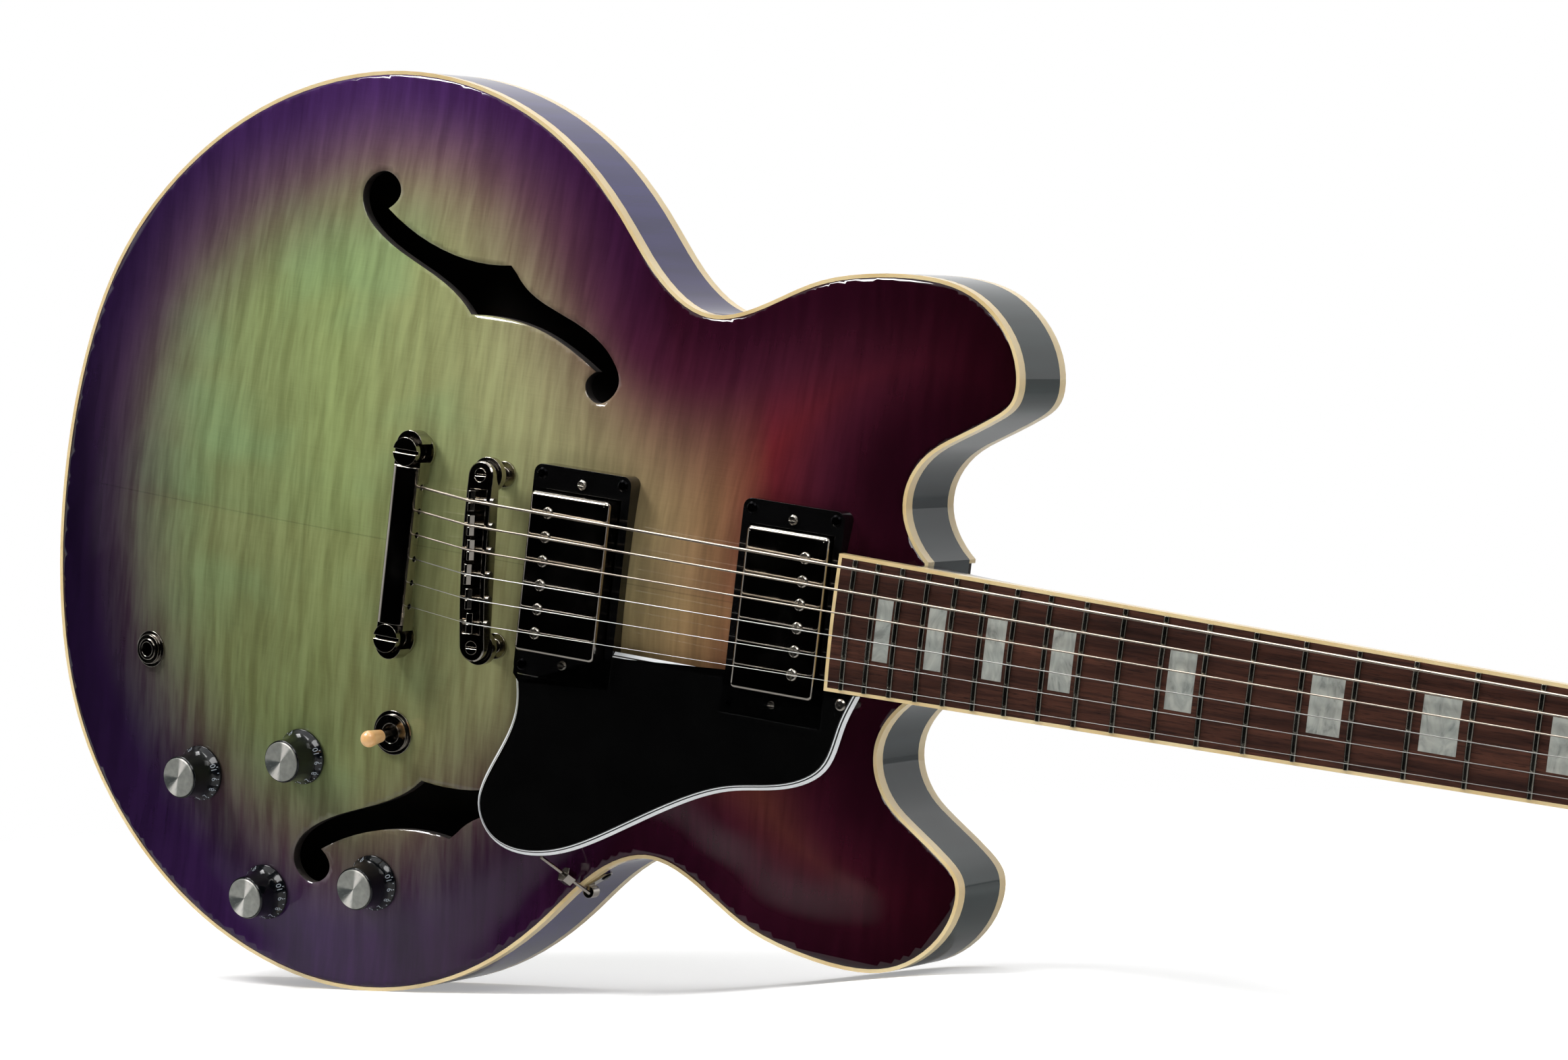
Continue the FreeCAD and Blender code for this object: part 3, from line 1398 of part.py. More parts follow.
# A ring shaped below to the arch of the top, with a screw hole in each corner
def makeRing(prefix, frame):
    name = f"{prefix}_ring"
    body = newBody(name + "_blank")
    sketch = newSketch(body, "XY_Plane")
    centredRectangle(sketch, size("ringWidth"), size("ringLength"), "sizes.ringWidth", "sizes.ringLength")
    wide, long = "sizes.pickupWidth + 2 * sizes.ringGap", "sizes.pickupLength + 2 * sizes.ringGap"
    sides = [float(sheet.evalExpression(side)) for side in (wide, long)]
    centredRectangle(sketch, *sides, wide, long)
    pad = body.newObject("PartDesign::Pad", name + "_pad")
    pad.Profile = sketch
    pad.Reversed = True
    pad.setExpression("Length", "sizes.bridgeRingTop")
    doc.recompute()
    opening = size("pickupLength") / 2 + size("ringRound")
    corners = edgesAlong(pad.Shape, axisZ, lambda spot: abs(spot.y) > opening)
    fillet = body.newObject("PartDesign::Fillet", name + "_corners")
    fillet.Base = (pad, corners)
    fillet.setExpression("Radius", "sizes.ringRound")
    body.Tip = fillet
    doc.recompute()
    bores = [Part.makeCylinder(size("heightScrewRadius"), 2 * tall,
                               Vector(0, side * size("heightScrewSpan") / 2, -tall)) for side in (-1, 1)]
    ground = doc.addObject("Part::Feature", name + "_ground")
    ground.Shape = moved(underTop, frame.inverse()).fuse(bores + localHoles(frame))
    settle(cutFrom(name, body, ground), name, frame)


# A drawn metal cover, open below, with one row of pole holes
def makeCover(prefix, frame, poles):
    name = f"{prefix}_cover"
    body = newBody(name)
    sketch = newSketch(body, "XY_Plane")
    wide, long = size("pickupWidth"), size("pickupLength")
    centredRectangle(sketch, wide, long, "sizes.pickupWidth", "sizes.pickupLength")
    pad = body.newObject("PartDesign::Pad", name + "_pad")
    pad.Profile = sketch
    pad.Reversed = True
    pad.setExpression("Length", "sizes.coverHeight")
    doc.recompute()
    middle = -size("coverHeight") / 2
    edges = [f"Edge{number}" for number, edge in enumerate(pad.Shape.Edges, start=1)
             if edge.CenterOfMass.z > 1.5 * middle]
    fillet = body.newObject("PartDesign::Fillet", name + "_rounding")
    fillet.Base = (pad, edges)
    fillet.setExpression("Radius", "sizes.coverRound")
    body.Tip = fillet
    doc.recompute()
    bottom = [f"Face{number}" for number, face in enumerate(fillet.Shape.Faces, start=1)
              if face.CenterOfMass.z < 1.9 * middle]
    shell = body.newObject("PartDesign::Thickness", name + "_shell")
    shell.Base = (fillet, bottom)
    shell.Reversed = True
    shell.setExpression("Value", "sizes.coverWall")
    body.Tip = shell
    doc.recompute()
    holes = newSketch(body, "XY_Plane")
    for pole in poles:
        circle = holes.addGeometry(Part.Circle(pole, axisZ, size("poleRadius")), False)
        radius = holes.addConstraint(Sketcher.Constraint("Radius", circle, size("poleRadius")))
        holes.setExpression(f"Constraints[{radius}]", "sizes.poleRadius")
    pocket = body.newObject("PartDesign::Pocket", name + "_holes")
    pocket.Profile = holes
    pocket.setExpression("Length", "2 * sizes.coverWall")
    body.Tip = pocket
    doc.recompute()
    if pocket.Shape.Volume >= shell.Shape.Volume:
        raise RuntimeError("the pole holes cut nothing")
    settle(body, name, frame)


# Two wound bobbins on a magnet and a baseplate, whose ears take the height screws
def makeCoils(prefix, frame, poles):
    wall, head, radius = size("coverWall"), size("heightScrewHead"), size("poleRadius")
    outWide, outLong = size("pickupWidth") / 2, size("pickupLength") / 2
    gap = wall + (size("coverRound") - wall) / 2
    wide, long = outWide - gap, outLong - gap
    deep = size("coverHeight")
    level, low = -deep + 2 * wall, -deep + 2 * wall + radius
    holes = [Part.makeCylinder(radius / 2, tall, pole - Vector(0, 0, tall - over)) for pole in poles]
    seat = radius + gap + over
    seats = [Part.makeCylinder(radius, seat, pole - Vector(0, 0, gap + radius)) for pole in poles]
    bobbins = [boxBetween((wall, -long, low), (wide, long, -gap))]
    bobbins.append(boxBetween((-wide, -long, low), (-wall, long, -gap)))
    bobbins = [bobbin.cut(holes + seats) for bobbin in bobbins]
    magnet = boxBetween((-radius, -long, level), (radius, long, low))
    ear = size("heightScrewSpan") / 2 + 1.5 * head
    foot = -deep - size("pickupLegDrop")
    base = boxBetween((-outWide, -outLong, -deep - wall), (outWide, outLong, -deep))
    seat = boxBetween((-wide, -long, -deep), (wide, long, level))
    ears = boxBetween((-2 * head, -ear, foot - wall), (2 * head, ear, foot))
    between = boxBetween((-2 * head - over, wall - outLong, foot - tall),
                         (2 * head + over, outLong - wall, foot))
    legs = boxBetween((-2 * head, -outLong, foot - wall), (2 * head, outLong, -deep)).cut(between)
    bores = [Part.makeCylinder(size("heightScrewRadius") + size("movingGap"), tall,
                               Vector(0, side * size("heightScrewSpan") / 2, -tall)) for side in (-1, 1)]
    frameShape = base.fuse([seat, ears.cut(between), legs]).cut(bores + holes).removeSplitter()
    shaped(f"{prefix}_coils", bobbins + [magnet, frameShape], frame)


# Pole screws with cross-slotted heads that stand a little above the cover
def makePoles(prefix, frame, poles):
    rise, radius = size("poleRise"), size("poleRadius")
    shoulder = -size("coverWall") - size("movingGap") - radius
    tip = rise - size("poleLength")
    slot = screwSlot(radius, rise)
    cross = slot.copy()
    cross.rotate(Vector(), axisZ, 90)
    head = [(0, rise), (radius * 0.8, rise), (radius, rise / 2), (radius, shoulder)]
    screw = turned(head + [(radius / 2, shoulder), (radius / 2, tip), (0, tip)]).cut([slot, cross])
    shaped(f"{prefix}_pole_screws", [screw.translated(pole) for pole in poles], frame)


def makeHeightScrews():
    head, shank = size("heightScrewHead"), size("heightScrewRadius")
    screws = []
    for centre, top, cover in ((size("bridgePickupCentre"), size("bridgeRingTop"), size("bridgeCoverTop")),
                               (size("neckPickupCentre"), size("neckRingTop"), size("neckCoverTop"))):
        low = cover - top - size("coverHeight") - size("pickupLegDrop") - 2 * over
        dome = [(0, head / 2), (head * 0.7, head / 2), (head, 0)]
        screw = turned(dome + [(shank, 0), (shank, low), (0, low)])
        screw = screw.cut(screwSlot(head, head / 2))
        for side in (-1, 1):
            spot = Placement(Vector(0, side * size("heightScrewSpan") / 2, 0), Rotation())
            screws.append(moved(screw, pickupFrame(centre, top).multiply(spot)))
    shaped("pickup_height_screws", screws)


def makeWoodScrews():
    shaped("wood_screws", [moved(woodScrew(length), frame) for frame, length in woodScrewFrames()])


# Pickguard


# A point of the plan on the sloping guard, in the guard's own frame
def guardLocal(x, y):
    return Vector((x - size("guardDatum")) / math.cos(math.radians(size("guardPitch"))), y, 0)


def makePickguard():
    gap = size("movingGap")
    ringHalf, ringEnd = size("ringWidth") / 2 + gap, -size("ringLength") / 2 - gap
    inner = -boardHalf(boardEnd) - gap
    free = [guardLocal(planPoint(shares).x, planPoint(shares).y) for shares in guardShares]
    plan = [(size("neckPickupCentre") + ringHalf, inner), (size("neckPickupCentre") + ringHalf, ringEnd),
            (size("neckPickupCentre") - ringHalf, ringEnd), (size("neckPickupCentre") - ringHalf, inner),
            (size("bridgePickupCentre") + ringHalf, inner), (size("bridgePickupCentre") + ringHalf, ringEnd)]
    route = [free[-1], Vector(free[-1].x, inner, 0)] + [guardLocal(x, y) for x, y in plan]
    route += [Vector(free[0].x, ringEnd, 0), free[0]]
    edges = [smoothEdge(free)] + [Part.makeLine(start, end) for start, end in zip(route, route[1:])]
    guard = Part.Face(Part.Wire(edges)).extrude(Vector(0, 0, -size("guardThickness")))
    shaped("pickguard", [guard.cut(localHoles(guardFrame))], guardFrame)


# A bent rod from the guard down to a foot on the rim, with the guard's spacer
def makeBracket():
    radius, thick = size("bracketBarrelRadius"), size("bracketFootThickness")
    wide, end = size("bracketFootWidth") / 2, size("bracketBarrelLength")
    screwLevel = size("bracketScrewLevel")
    barrel = Vector(-size("bracketFootLength"), -radius, radius + thick / 2)
    narrow = Vector(barrel.x, barrel.y - end / 2, 0)
    plateShape = teardrop(Vector(0, screwLevel, 0), wide, narrow, radius, thick)
    lower = bracketFrame.multVec(barrel - Vector(0, end, 0))
    start = bracketFrame.multVec(barrel)
    anchor = planPoint((size("bracketAlongShare"), -size("bracketAcrossShare")))
    local = guardLocal(anchor.x, anchor.y)
    upper = guardFrame.multVec(local - Vector(0, 0, size("guardThickness")))
    way = Vector(upper - start).normalize()
    nutFrame = Placement(upper + (start - upper) * bracketNutShare, Rotation(axisZ, way))
    nut = moved(hexPrism(size("bracketNutRadius"), 0, size("bracketNutHeight")), nutFrame)
    rod = rodBetween(upper, start - way * radius / 2, size("bracketRodRadius"))
    foot = moved(plateShape, bracketFrame).cut([bodyPrism(0, -rimDepth, tall)] + screwHoles)
    body = foot.fuse([rodBetween(lower, start, radius), nut, rod]).cut(bodyPrism(0, -rimDepth, 0))
    hole = guardFrame.multVec(guardScrewPlace())
    spacer = Part.makeCylinder(size("woodScrewHead"), hole.z, Vector(hole.x, hole.y, 0))
    below = boxBetween((-halfBout, -halfBout, -tall), (halfBout, halfBout, -size("guardThickness")))
    spacer = spacer.common(moved(below, guardFrame)).cut([underTop] + screwHoles)
    shaped("pickguard_bracket", [body, spacer])


# A plate in the shape of two circles and their common tangents
def teardrop(first, firstRadius, second, secondRadius, thick):
    away = second - first
    lean = math.acos((firstRadius - secondRadius) / away.Length)
    heading = math.atan2(away.y, away.x)
    corners = []
    for centre, radius, turn in ((first, firstRadius, lean), (second, secondRadius, lean),
                                 (second, secondRadius, -lean), (first, firstRadius, -lean)):
        corners.append(centre + Vector(math.cos(heading + turn), math.sin(heading + turn), 0) * radius)
    side = Part.Face(Part.makePolygon(corners + corners[:1])).extrude(Vector(0, 0, thick))
    ends = [Part.makeCylinder(firstRadius, thick, first), Part.makeCylinder(secondRadius, thick, second)]
    return side.fuse(ends)


# Controls


def makeKnobs():
    for name, place in knobPlaces.items():
        makeKnob(name, topFrame(place))


# A flared knob over the pot's nut, with its metal cap and the shaft that it turns
def makeKnob(name, frame):
    inside = "sizes.potNutRadius + sizes.knobGap"
    level = "sizes.potNutHeight + 2 * sizes.knobGap"
    shell = turnedBody(name + "_shell", [
        ("sizes.potShaftRadius", "sizes.knobGap + sizes.knobSkirt + " + level),
        (inside, "sizes.knobSkirt + " + level),
        (inside, "sizes.knobGap"),
        ("sizes.knobRadius", "sizes.knobGap"),
        ("sizes.knobRadius", "sizes.knobGap + sizes.knobSkirt / 2"),
        ("sizes.knobRadius * 0.82 + sizes.knobCapRadius * 0.18",
         "sizes.knobSkirt + sizes.knobHeight * 0.12"),
        ("(sizes.knobRadius + sizes.knobCapRadius * 2) / 3", "sizes.knobHeight * 0.42"),
        ("sizes.knobCapRadius + sizes.capThickness", "sizes.knobHeight * 0.72"),
        ("sizes.knobCapRadius + sizes.capThickness / 2", "sizes.knobHeight - sizes.capThickness"),
        ("sizes.potShaftRadius", "sizes.knobHeight - sizes.capThickness")])
    cap = discStack(name + "_cap", [("sizes.knobCapRadius", "sizes.knobHeight - sizes.capThickness",
                                     "sizes.knobHeight")])
    shaft = discStack(name + "_shaft", [("sizes.potShaftRadius",
                                         "-sizes.plateThickness - sizes.potHeight / 2",
                                         "sizes.knobHeight - sizes.capThickness")])
    knob = doc.addObject("Part::Compound", name)
    knob.Links = [shell, cap, shaft]
    settle(knob, name, frame)


def makePots():
    top = "-sizes.plateThickness - sizes.potSeat"
    case = discStack("pot_case", [("sizes.potRadius", f"{top} - sizes.potHeight", top),
                                  ("sizes.potBushingRadius", top, "sizes.potNutHeight"),
                                  ("sizes.potNutRadius", "0", "sizes.potNutHeight")])
    bore = discStack("pot_bore", [("sizes.potShaftRadius + sizes.runningGap",
                                   f"{top} - sizes.potHeight * 0.8", "sizes.potNutHeight + sizes.overrun")])
    pot = cutFrom("pot_pattern", case, bore)
    doc.recompute()
    seats = [moved(pot.Shape, topFrame(place)) for place in knobPlaces.values()]
    shaped("potentiometers", [seat.Solids[0] for seat in seats])


# The lever swings on a ball below the plate, along the guitar's width
def makeToggle():
    frame = toggleFrame
    pivot = "-sizes.plateThickness"
    ball = bound("Part::Sphere", "lever_ball", Radius="sizes.leverBall")
    ball.setExpression(".Placement.Base.z", pivot)
    arm = discStack("lever_arm", [("sizes.leverRadius", pivot, "sizes.leverLength")])
    tip = bound("Part::Cone", "lever_tip", Radius1="sizes.leverTipRadius * 0.75",
                Radius2="sizes.leverTipRadius", Height="sizes.leverTipLength - sizes.leverTipRadius")
    tip.setExpression(".Placement.Base.z", "sizes.leverLength")
    crown = bound("Part::Sphere", "lever_crown", Radius="sizes.leverTipRadius")
    crown.setExpression(".Placement.Base.z",
                        "sizes.leverLength + sizes.leverTipLength - sizes.leverTipRadius")
    metal = doc.addObject("Part::MultiFuse", "lever_metal")
    metal.Shapes = [ball, arm]
    cream = doc.addObject("Part::MultiFuse", "lever_cream")
    cream.Shapes = [tip, crown]
    lever = doc.addObject("Part::Compound", "toggle_lever")
    lever.Links = [metal, cream]
    settle(lever, "toggle_lever", frame)
    top = "-sizes.plateThickness - sizes.potSeat"
    bushing = discStack("toggle_bushing", [("sizes.toggleBushingRadius", top, "sizes.toggleNutHeight"),
                                           ("sizes.toggleNutRadius * 1.2", "0", "sizes.toggleNutHeight / 3"),
                                           ("sizes.toggleNutRadius", "sizes.toggleNutHeight / 3",
                                            "sizes.toggleNutHeight")])
    case = bound("Part::Box", "toggle_case", Length="sizes.toggleBodySize", Width="sizes.toggleBodySize",
                 Height="sizes.toggleBodyDepth")
    case.setExpression(".Placement.Base.x", "-sizes.toggleBodySize / 2")
    case.setExpression(".Placement.Base.y", "-sizes.toggleBodySize / 2")
    case.setExpression(".Placement.Base.z", f"{top} - sizes.toggleBodyDepth")
    whole = doc.addObject("Part::MultiFuse", "toggle_whole")
    whole.Shapes = [bushing, case]
    socket = "sizes.leverBall + sizes.movingGap"
    bore = discStack("toggle_bore", [(socket, f"{pivot} - ({socket})", pivot),
                                     ("sizes.toggleBore", pivot, "sizes.toggleNutHeight + sizes.overrun")])
    settle(cutFrom("toggle_switch", whole, bore), "toggle_switch", frame)


# A tube that takes the plug, with a nut and washer on the top
def makeJack():
    top = "-sizes.plateThickness - sizes.potSeat"
    tube = discStack("jack_tube", [("sizes.jackSleeve", "-sizes.jackLength", "sizes.jackNutHeight * 1.2"),
                                   ("sizes.jackNutRadius * 1.25", "0", "sizes.jackNutHeight / 3"),
                                   ("sizes.jackNutRadius", "sizes.jackNutHeight / 3", "sizes.jackNutHeight"),
                                   ("sizes.jackNutRadius", f"{top} - sizes.jackNutHeight", top)])
    bore = discStack("jack_bore", [("sizes.jackBore", "-sizes.jackLength - sizes.overrun",
                                    "sizes.jackNutHeight * 1.2 + sizes.overrun")])
    settle(cutFrom("output_jack", tube, bore), "output_jack", topFrame(jackPlace))


# Two strap buttons, one at the tail and one behind the heel, each on its screw
def makeStrapButtons():
    flange, neck, long = size("strapButtonRadius"), size("strapButtonNeck"), size("strapButtonLength")
    shank = size("woodScrewRadius")
    waist = [(neck, long * 0.3), (neck, long * 0.6)]
    button = turned([(shank, 0), (flange * 0.75, 0)] + waist
                    + [(flange, long * 0.8), (flange, long), (shank, long)])
    screw = turned([(0, long + shank), (neck * 0.6, long + shank / 2), (neck * 0.8, long), (shank, long),
                    (shank, -2 * long), (0, -2 * long)])
    shaped("strap_buttons", [moved(solid, frame) for frame in (tailButtonFrame, heelButtonFrame)
                             for solid in (button, screw)])


makePlates()
makeRims()
makeBinding()
makeCentreBlock()
makeNeck()
makeTrussRodCover()
makeFretboard()
makeFrets()
makeNut()
makeTuners()
makeStrings()
makeBridge()
makeBridgePosts()
makeSaddles()
makeSaddleScrews()
makeTailpiece()
makeTailpieceStuds()
makePickup("bridge_pickup", size("bridgePickupCentre"), size("bridgeRingTop"), size("bridgeCoverTop"),
           size("polePitchBridge"), -1)
makePickup("neck_pickup", size("neckPickupCentre"), size("neckRingTop"), size("neckCoverTop"),
           size("polePitchNeck"), 1)
makeHeightScrews()
makeWoodScrews()
makePickguard()
makeBracket()
makeKnobs()
makePots()
makeToggle()
makeJack()
makeStrapButtons()
doc.recompute()

# Every object has to be whole before anything is written
for item in doc.Objects:
    if "Invalid" in item.State or "Error" in item.State:
        raise RuntimeError(f"{item.Name} failed")
for name, piece in pieces.items():
    if piece.Shape.isNull() or not piece.Shape.isValid() or not piece.Shape.Solids:
        raise RuntimeError(f"{name} has no valid shape")

os.makedirs("parts", exist_ok=True)
for name, piece in pieces.items():
    piece.Shape.exportStep(f"parts/{name}.step")
print(len(pieces), "sub-parts")
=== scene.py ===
import json
import math

import bmesh
import bpy
import numpy as np
from mathutils import Matrix, Vector
from mathutils.geometry import delaunay_2d_cdt

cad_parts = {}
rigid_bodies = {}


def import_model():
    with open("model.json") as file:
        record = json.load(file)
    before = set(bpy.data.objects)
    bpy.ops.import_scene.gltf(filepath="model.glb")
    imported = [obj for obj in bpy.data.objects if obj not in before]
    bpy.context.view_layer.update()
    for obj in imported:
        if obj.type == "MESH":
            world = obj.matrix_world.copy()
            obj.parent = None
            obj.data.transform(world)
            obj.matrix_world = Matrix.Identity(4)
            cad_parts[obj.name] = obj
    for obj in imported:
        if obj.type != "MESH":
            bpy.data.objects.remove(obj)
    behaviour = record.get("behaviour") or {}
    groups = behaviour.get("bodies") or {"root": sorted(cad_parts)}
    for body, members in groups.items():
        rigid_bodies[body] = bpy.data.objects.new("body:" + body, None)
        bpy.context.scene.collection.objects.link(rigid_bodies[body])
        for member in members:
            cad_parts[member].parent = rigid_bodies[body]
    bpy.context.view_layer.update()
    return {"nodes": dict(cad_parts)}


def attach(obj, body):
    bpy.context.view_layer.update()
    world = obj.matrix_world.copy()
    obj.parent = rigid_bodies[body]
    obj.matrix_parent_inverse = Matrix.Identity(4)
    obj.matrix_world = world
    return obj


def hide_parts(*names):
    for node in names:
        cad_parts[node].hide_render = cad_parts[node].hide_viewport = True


for leftover in list(bpy.data.objects):
    bpy.data.objects.remove(leftover)
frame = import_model()
nodes = frame["nodes"]
print("frame loaded:", len(nodes), "nodes")

# The guitar's own axes, in millimetres: x from the bridge line to the nut, y to the bass side,
# z out of the top, with z = 0 at the front rim plane. It leans on its lower bout.
stance = {"tilt": 0.16561786, "lowest": (-49.121698, -200.594284, -20.5)}
lean = stance["tilt"]
turn = Matrix(((math.cos(lean), math.sin(lean), 0), (0, 0, -1), (-math.sin(lean), math.cos(lean), 0)))
lowest = Vector(stance["lowest"])
toRow = Matrix.Scale(0.001, 4) @ turn.to_4x4() @ Matrix.Translation(-lowest)
toGuitar = toRow.inverted()


# Node trees, in which sums are written as Python sums

def paint(code):  # a colour as six hex digits, made linear
    parts = [int(code[k:k + 2], 16) / 255 for k in (0, 2, 4)]
    return tuple(p / 12.92 if p <= 0.04045 else ((p + 0.055) / 1.055) ** 2.4 for p in parts) + (1,)


class Link:  # one output socket, in which sums can be written
    def __init__(self, finish, socket):
        self.finish, self.socket = finish, socket

    def maths(self, operation, first, second):
        return self.finish.node("Math", {"operation": operation}, {0: first, 1: second})

    def __add__(self, other):
        return self.maths("ADD", self, other)

    def __radd__(self, other):
        return self.maths("ADD", other, self)

    def __sub__(self, other):
        return self.maths("SUBTRACT", self, other)

    def __rsub__(self, other):
        return self.maths("SUBTRACT", other, self)

    def __mul__(self, other):
        return self.maths("MULTIPLY", self, other)

    def __rmul__(self, other):
        return self.maths("MULTIPLY", other, self)

    def __truediv__(self, other):
        return self.maths("DIVIDE", self, other)

    def __gt__(self, other):
        return self.maths("GREATER_THAN", self, other)

    def __lt__(self, other):
        return self.maths("LESS_THAN", self, other)

    def __abs__(self):
        return self.maths("ABSOLUTE", self, 0)


class Finish:  # a material and its principled shader
    def __init__(self, name, **fixed):
        self.material = bpy.data.materials.new(name)
        self.material.use_nodes = True
        self.tree = self.material.node_tree
        self.shader = self.tree.nodes["Principled BSDF"]
        for socket, value in fixed.items():
            self.shader.inputs[socket.replace("_", " ")].default_value = value

    def node(self, kind, settings=None, inputs=None, output=0):
        made = self.tree.nodes.new(kind if kind.startswith("Geometry") else "ShaderNode" + kind)
        for key, value in (settings or {}).items():
            if key == "stops":
                stops = made.color_ramp.elements
                for place, _ in value[2:]:
                    stops.new(place)
                for stop, (place, colour) in zip(stops, sorted(value)):
                    stop.position, stop.color = place, colour
            else:
                setattr(made, key, value)
        for key, value in (inputs or {}).items():
            if isinstance(value, Link):
                self.tree.links.new(value.socket, made.inputs[key])
            else:
                made.inputs[key].default_value = value
        return Link(self, made.outputs[output])

    def mix(self, factor, first, second, blend="MIX"):
        settings = {"data_type": "RGBA", "blend_type": blend}
        return self.node("Mix", settings, {0: factor, 6: first, 7: second}, 2)

    def ramp(self, value, stops):
        return self.node("ValToRGB", {"stops": [(place, paint(code)) for place, code in stops]}, {0: value})

    def ease(self, value, low, high):  # from 0 at low to 1 at high, softly
        return self.node("MapRange", {"interpolation_type": "SMOOTHSTEP"}, {0: value, 1: low, 2: high})

    def noise(self, vector, scale, detail=2, roughness=0.5):
        inputs = {"Vector": vector, "Scale": scale, "Detail": detail, "Roughness": roughness}
        return self.node("TexNoise", {}, inputs)

    def bump(self, height, strength, distance, under=None):
        inputs = {"Height": height, "Strength": strength, "Distance": distance}
        if under is not None:
            inputs["Normal"] = under
        return self.node("Bump", {}, inputs)

    def rounded(self, radius):
        return self.node("Bevel", {"samples": 6}, {"Radius": radius})

    def feed(self, socket, value):
        self.tree.links.new(value.socket, self.shader.inputs[socket])

    def objectPlace(self):
        return self.node("TexCoord", {}, {}, 3)

    def guitarPlace(self):  # object coordinates turned into the guitar's axes, in metres
        back = turn.transposed().to_euler("XYZ")
        inputs = {"Vector": self.objectPlace(), "Location": lowest / 1000, "Rotation": back}
        return self.node("Mapping", {}, inputs)

    def parts(self, vector):
        split = self.node("SeparateXYZ", {}, {0: vector})
        return [Link(self, split.socket.node.outputs[k]) for k in range(3)]

    def stretched(self, vector, scale):
        return self.node("Mapping", {}, {"Vector": vector, "Scale": scale})

    def joined(self, x, y, z):
        return self.node("CombineXYZ", {}, {0: x, 1: y, 2: z})


class Rule(Finish):  # a tree of geometry nodes that makes a shape from named sizes
    def __init__(self, name, sizes):
        self.tree = bpy.data.node_groups.new(name, "GeometryNodeTree")
        self.tree.interface.new_socket("Geometry", in_out="INPUT", socket_type="NodeSocketGeometry")
        self.tree.interface.new_socket("Geometry", in_out="OUTPUT", socket_type="NodeSocketGeometry")
        self.sockets = {}
        for label in sizes:
            socket = self.tree.interface.new_socket(label, in_out="INPUT", socket_type="NodeSocketFloat")
            self.sockets[label] = socket.identifier
        start = self.tree.nodes.new("NodeGroupInput")
        self.given = {label: Link(self, start.outputs[label]) for label in sizes}
        self.name, self.sizes = name, sizes

    def together(self, shapes):
        both = self.node("GeometryNodeJoinGeometry")
        for shape in shapes:
            self.tree.links.new(shape.socket, both.socket.node.inputs[0])
        return both

    def finished(self, shape, material):  # the plain mesh that the tree makes
        shape = self.node("GeometryNodeRealizeInstances", {}, {"Geometry": shape})
        shape = self.node("GeometryNodeSetMaterial", {}, {"Geometry": shape, "Material": material})
        end = self.tree.nodes.new("NodeGroupOutput")
        self.tree.links.new(shape.socket, end.inputs[0])
        holder = bpy.data.objects.new(self.name, bpy.data.meshes.new(self.name))
        bpy.context.scene.collection.objects.link(holder)
        modifier = holder.modifiers.new(self.name, "NODES")
        modifier.node_group = self.tree
        for label, size in self.sizes.items():
            modifier[self.sockets[label]] = size
        made = holder.evaluated_get(bpy.context.evaluated_depsgraph_get())
        mesh = bpy.data.meshes.new_from_object(made)
        holder.modifiers.remove(modifier)
        bpy.data.objects.remove(holder)
        return mesh


# The body's arched plates

body = {
    "length": 484.2, "tailToBridge": 252.0, "lowerBout": 406.2, "rimDepth": 41.0,
    "topRise": 15.5, "backRise": 11.0, "archEdge": 26.0, "archSoftness": 4.0, "archStep": 14.0,
    "boutCentre": -76.0, "frontStart": 60.0, "frontLength": 285.0, "rootX": 200.0, "rootHalf": 29.0,
    "outlinePoints": 260, "rootPoints": 16,
    # the fine skin, and how near to the surface a point of the plate counts as on it
    "weld": 0.002, "meshStep": 2.6, "meshClear": 1.1, "onSurface": 0.25,
}
outlineShares = [
    (0.0, 0.0), (0.0099, 0.276), (0.0417, 0.519), (0.1033, 0.726), (0.1871, 0.883),
    (0.2726, 0.969), (0.3635, 1.0), (0.4482, 0.971), (0.5246, 0.888), (0.5913, 0.751),
    (0.6382, 0.633), (0.6898, 0.5755), (0.7414, 0.6095), (0.7930, 0.673), (0.8457, 0.7055),
    (0.8942, 0.7154), (0.9438, 0.697), (0.9795, 0.637), (0.9983, 0.554), (0.9967, 0.484),
    (0.9799, 0.446), (0.9486, 0.399), (0.9232, 0.356), (0.9067, 0.288), (0.9062, 0.239),
    (0.9149, 0.190),
]


def planPoint(shares, side=1):
    return shares[0] * body["length"] - body["tailToBridge"], side * shares[1] * body["lowerBout"] / 2


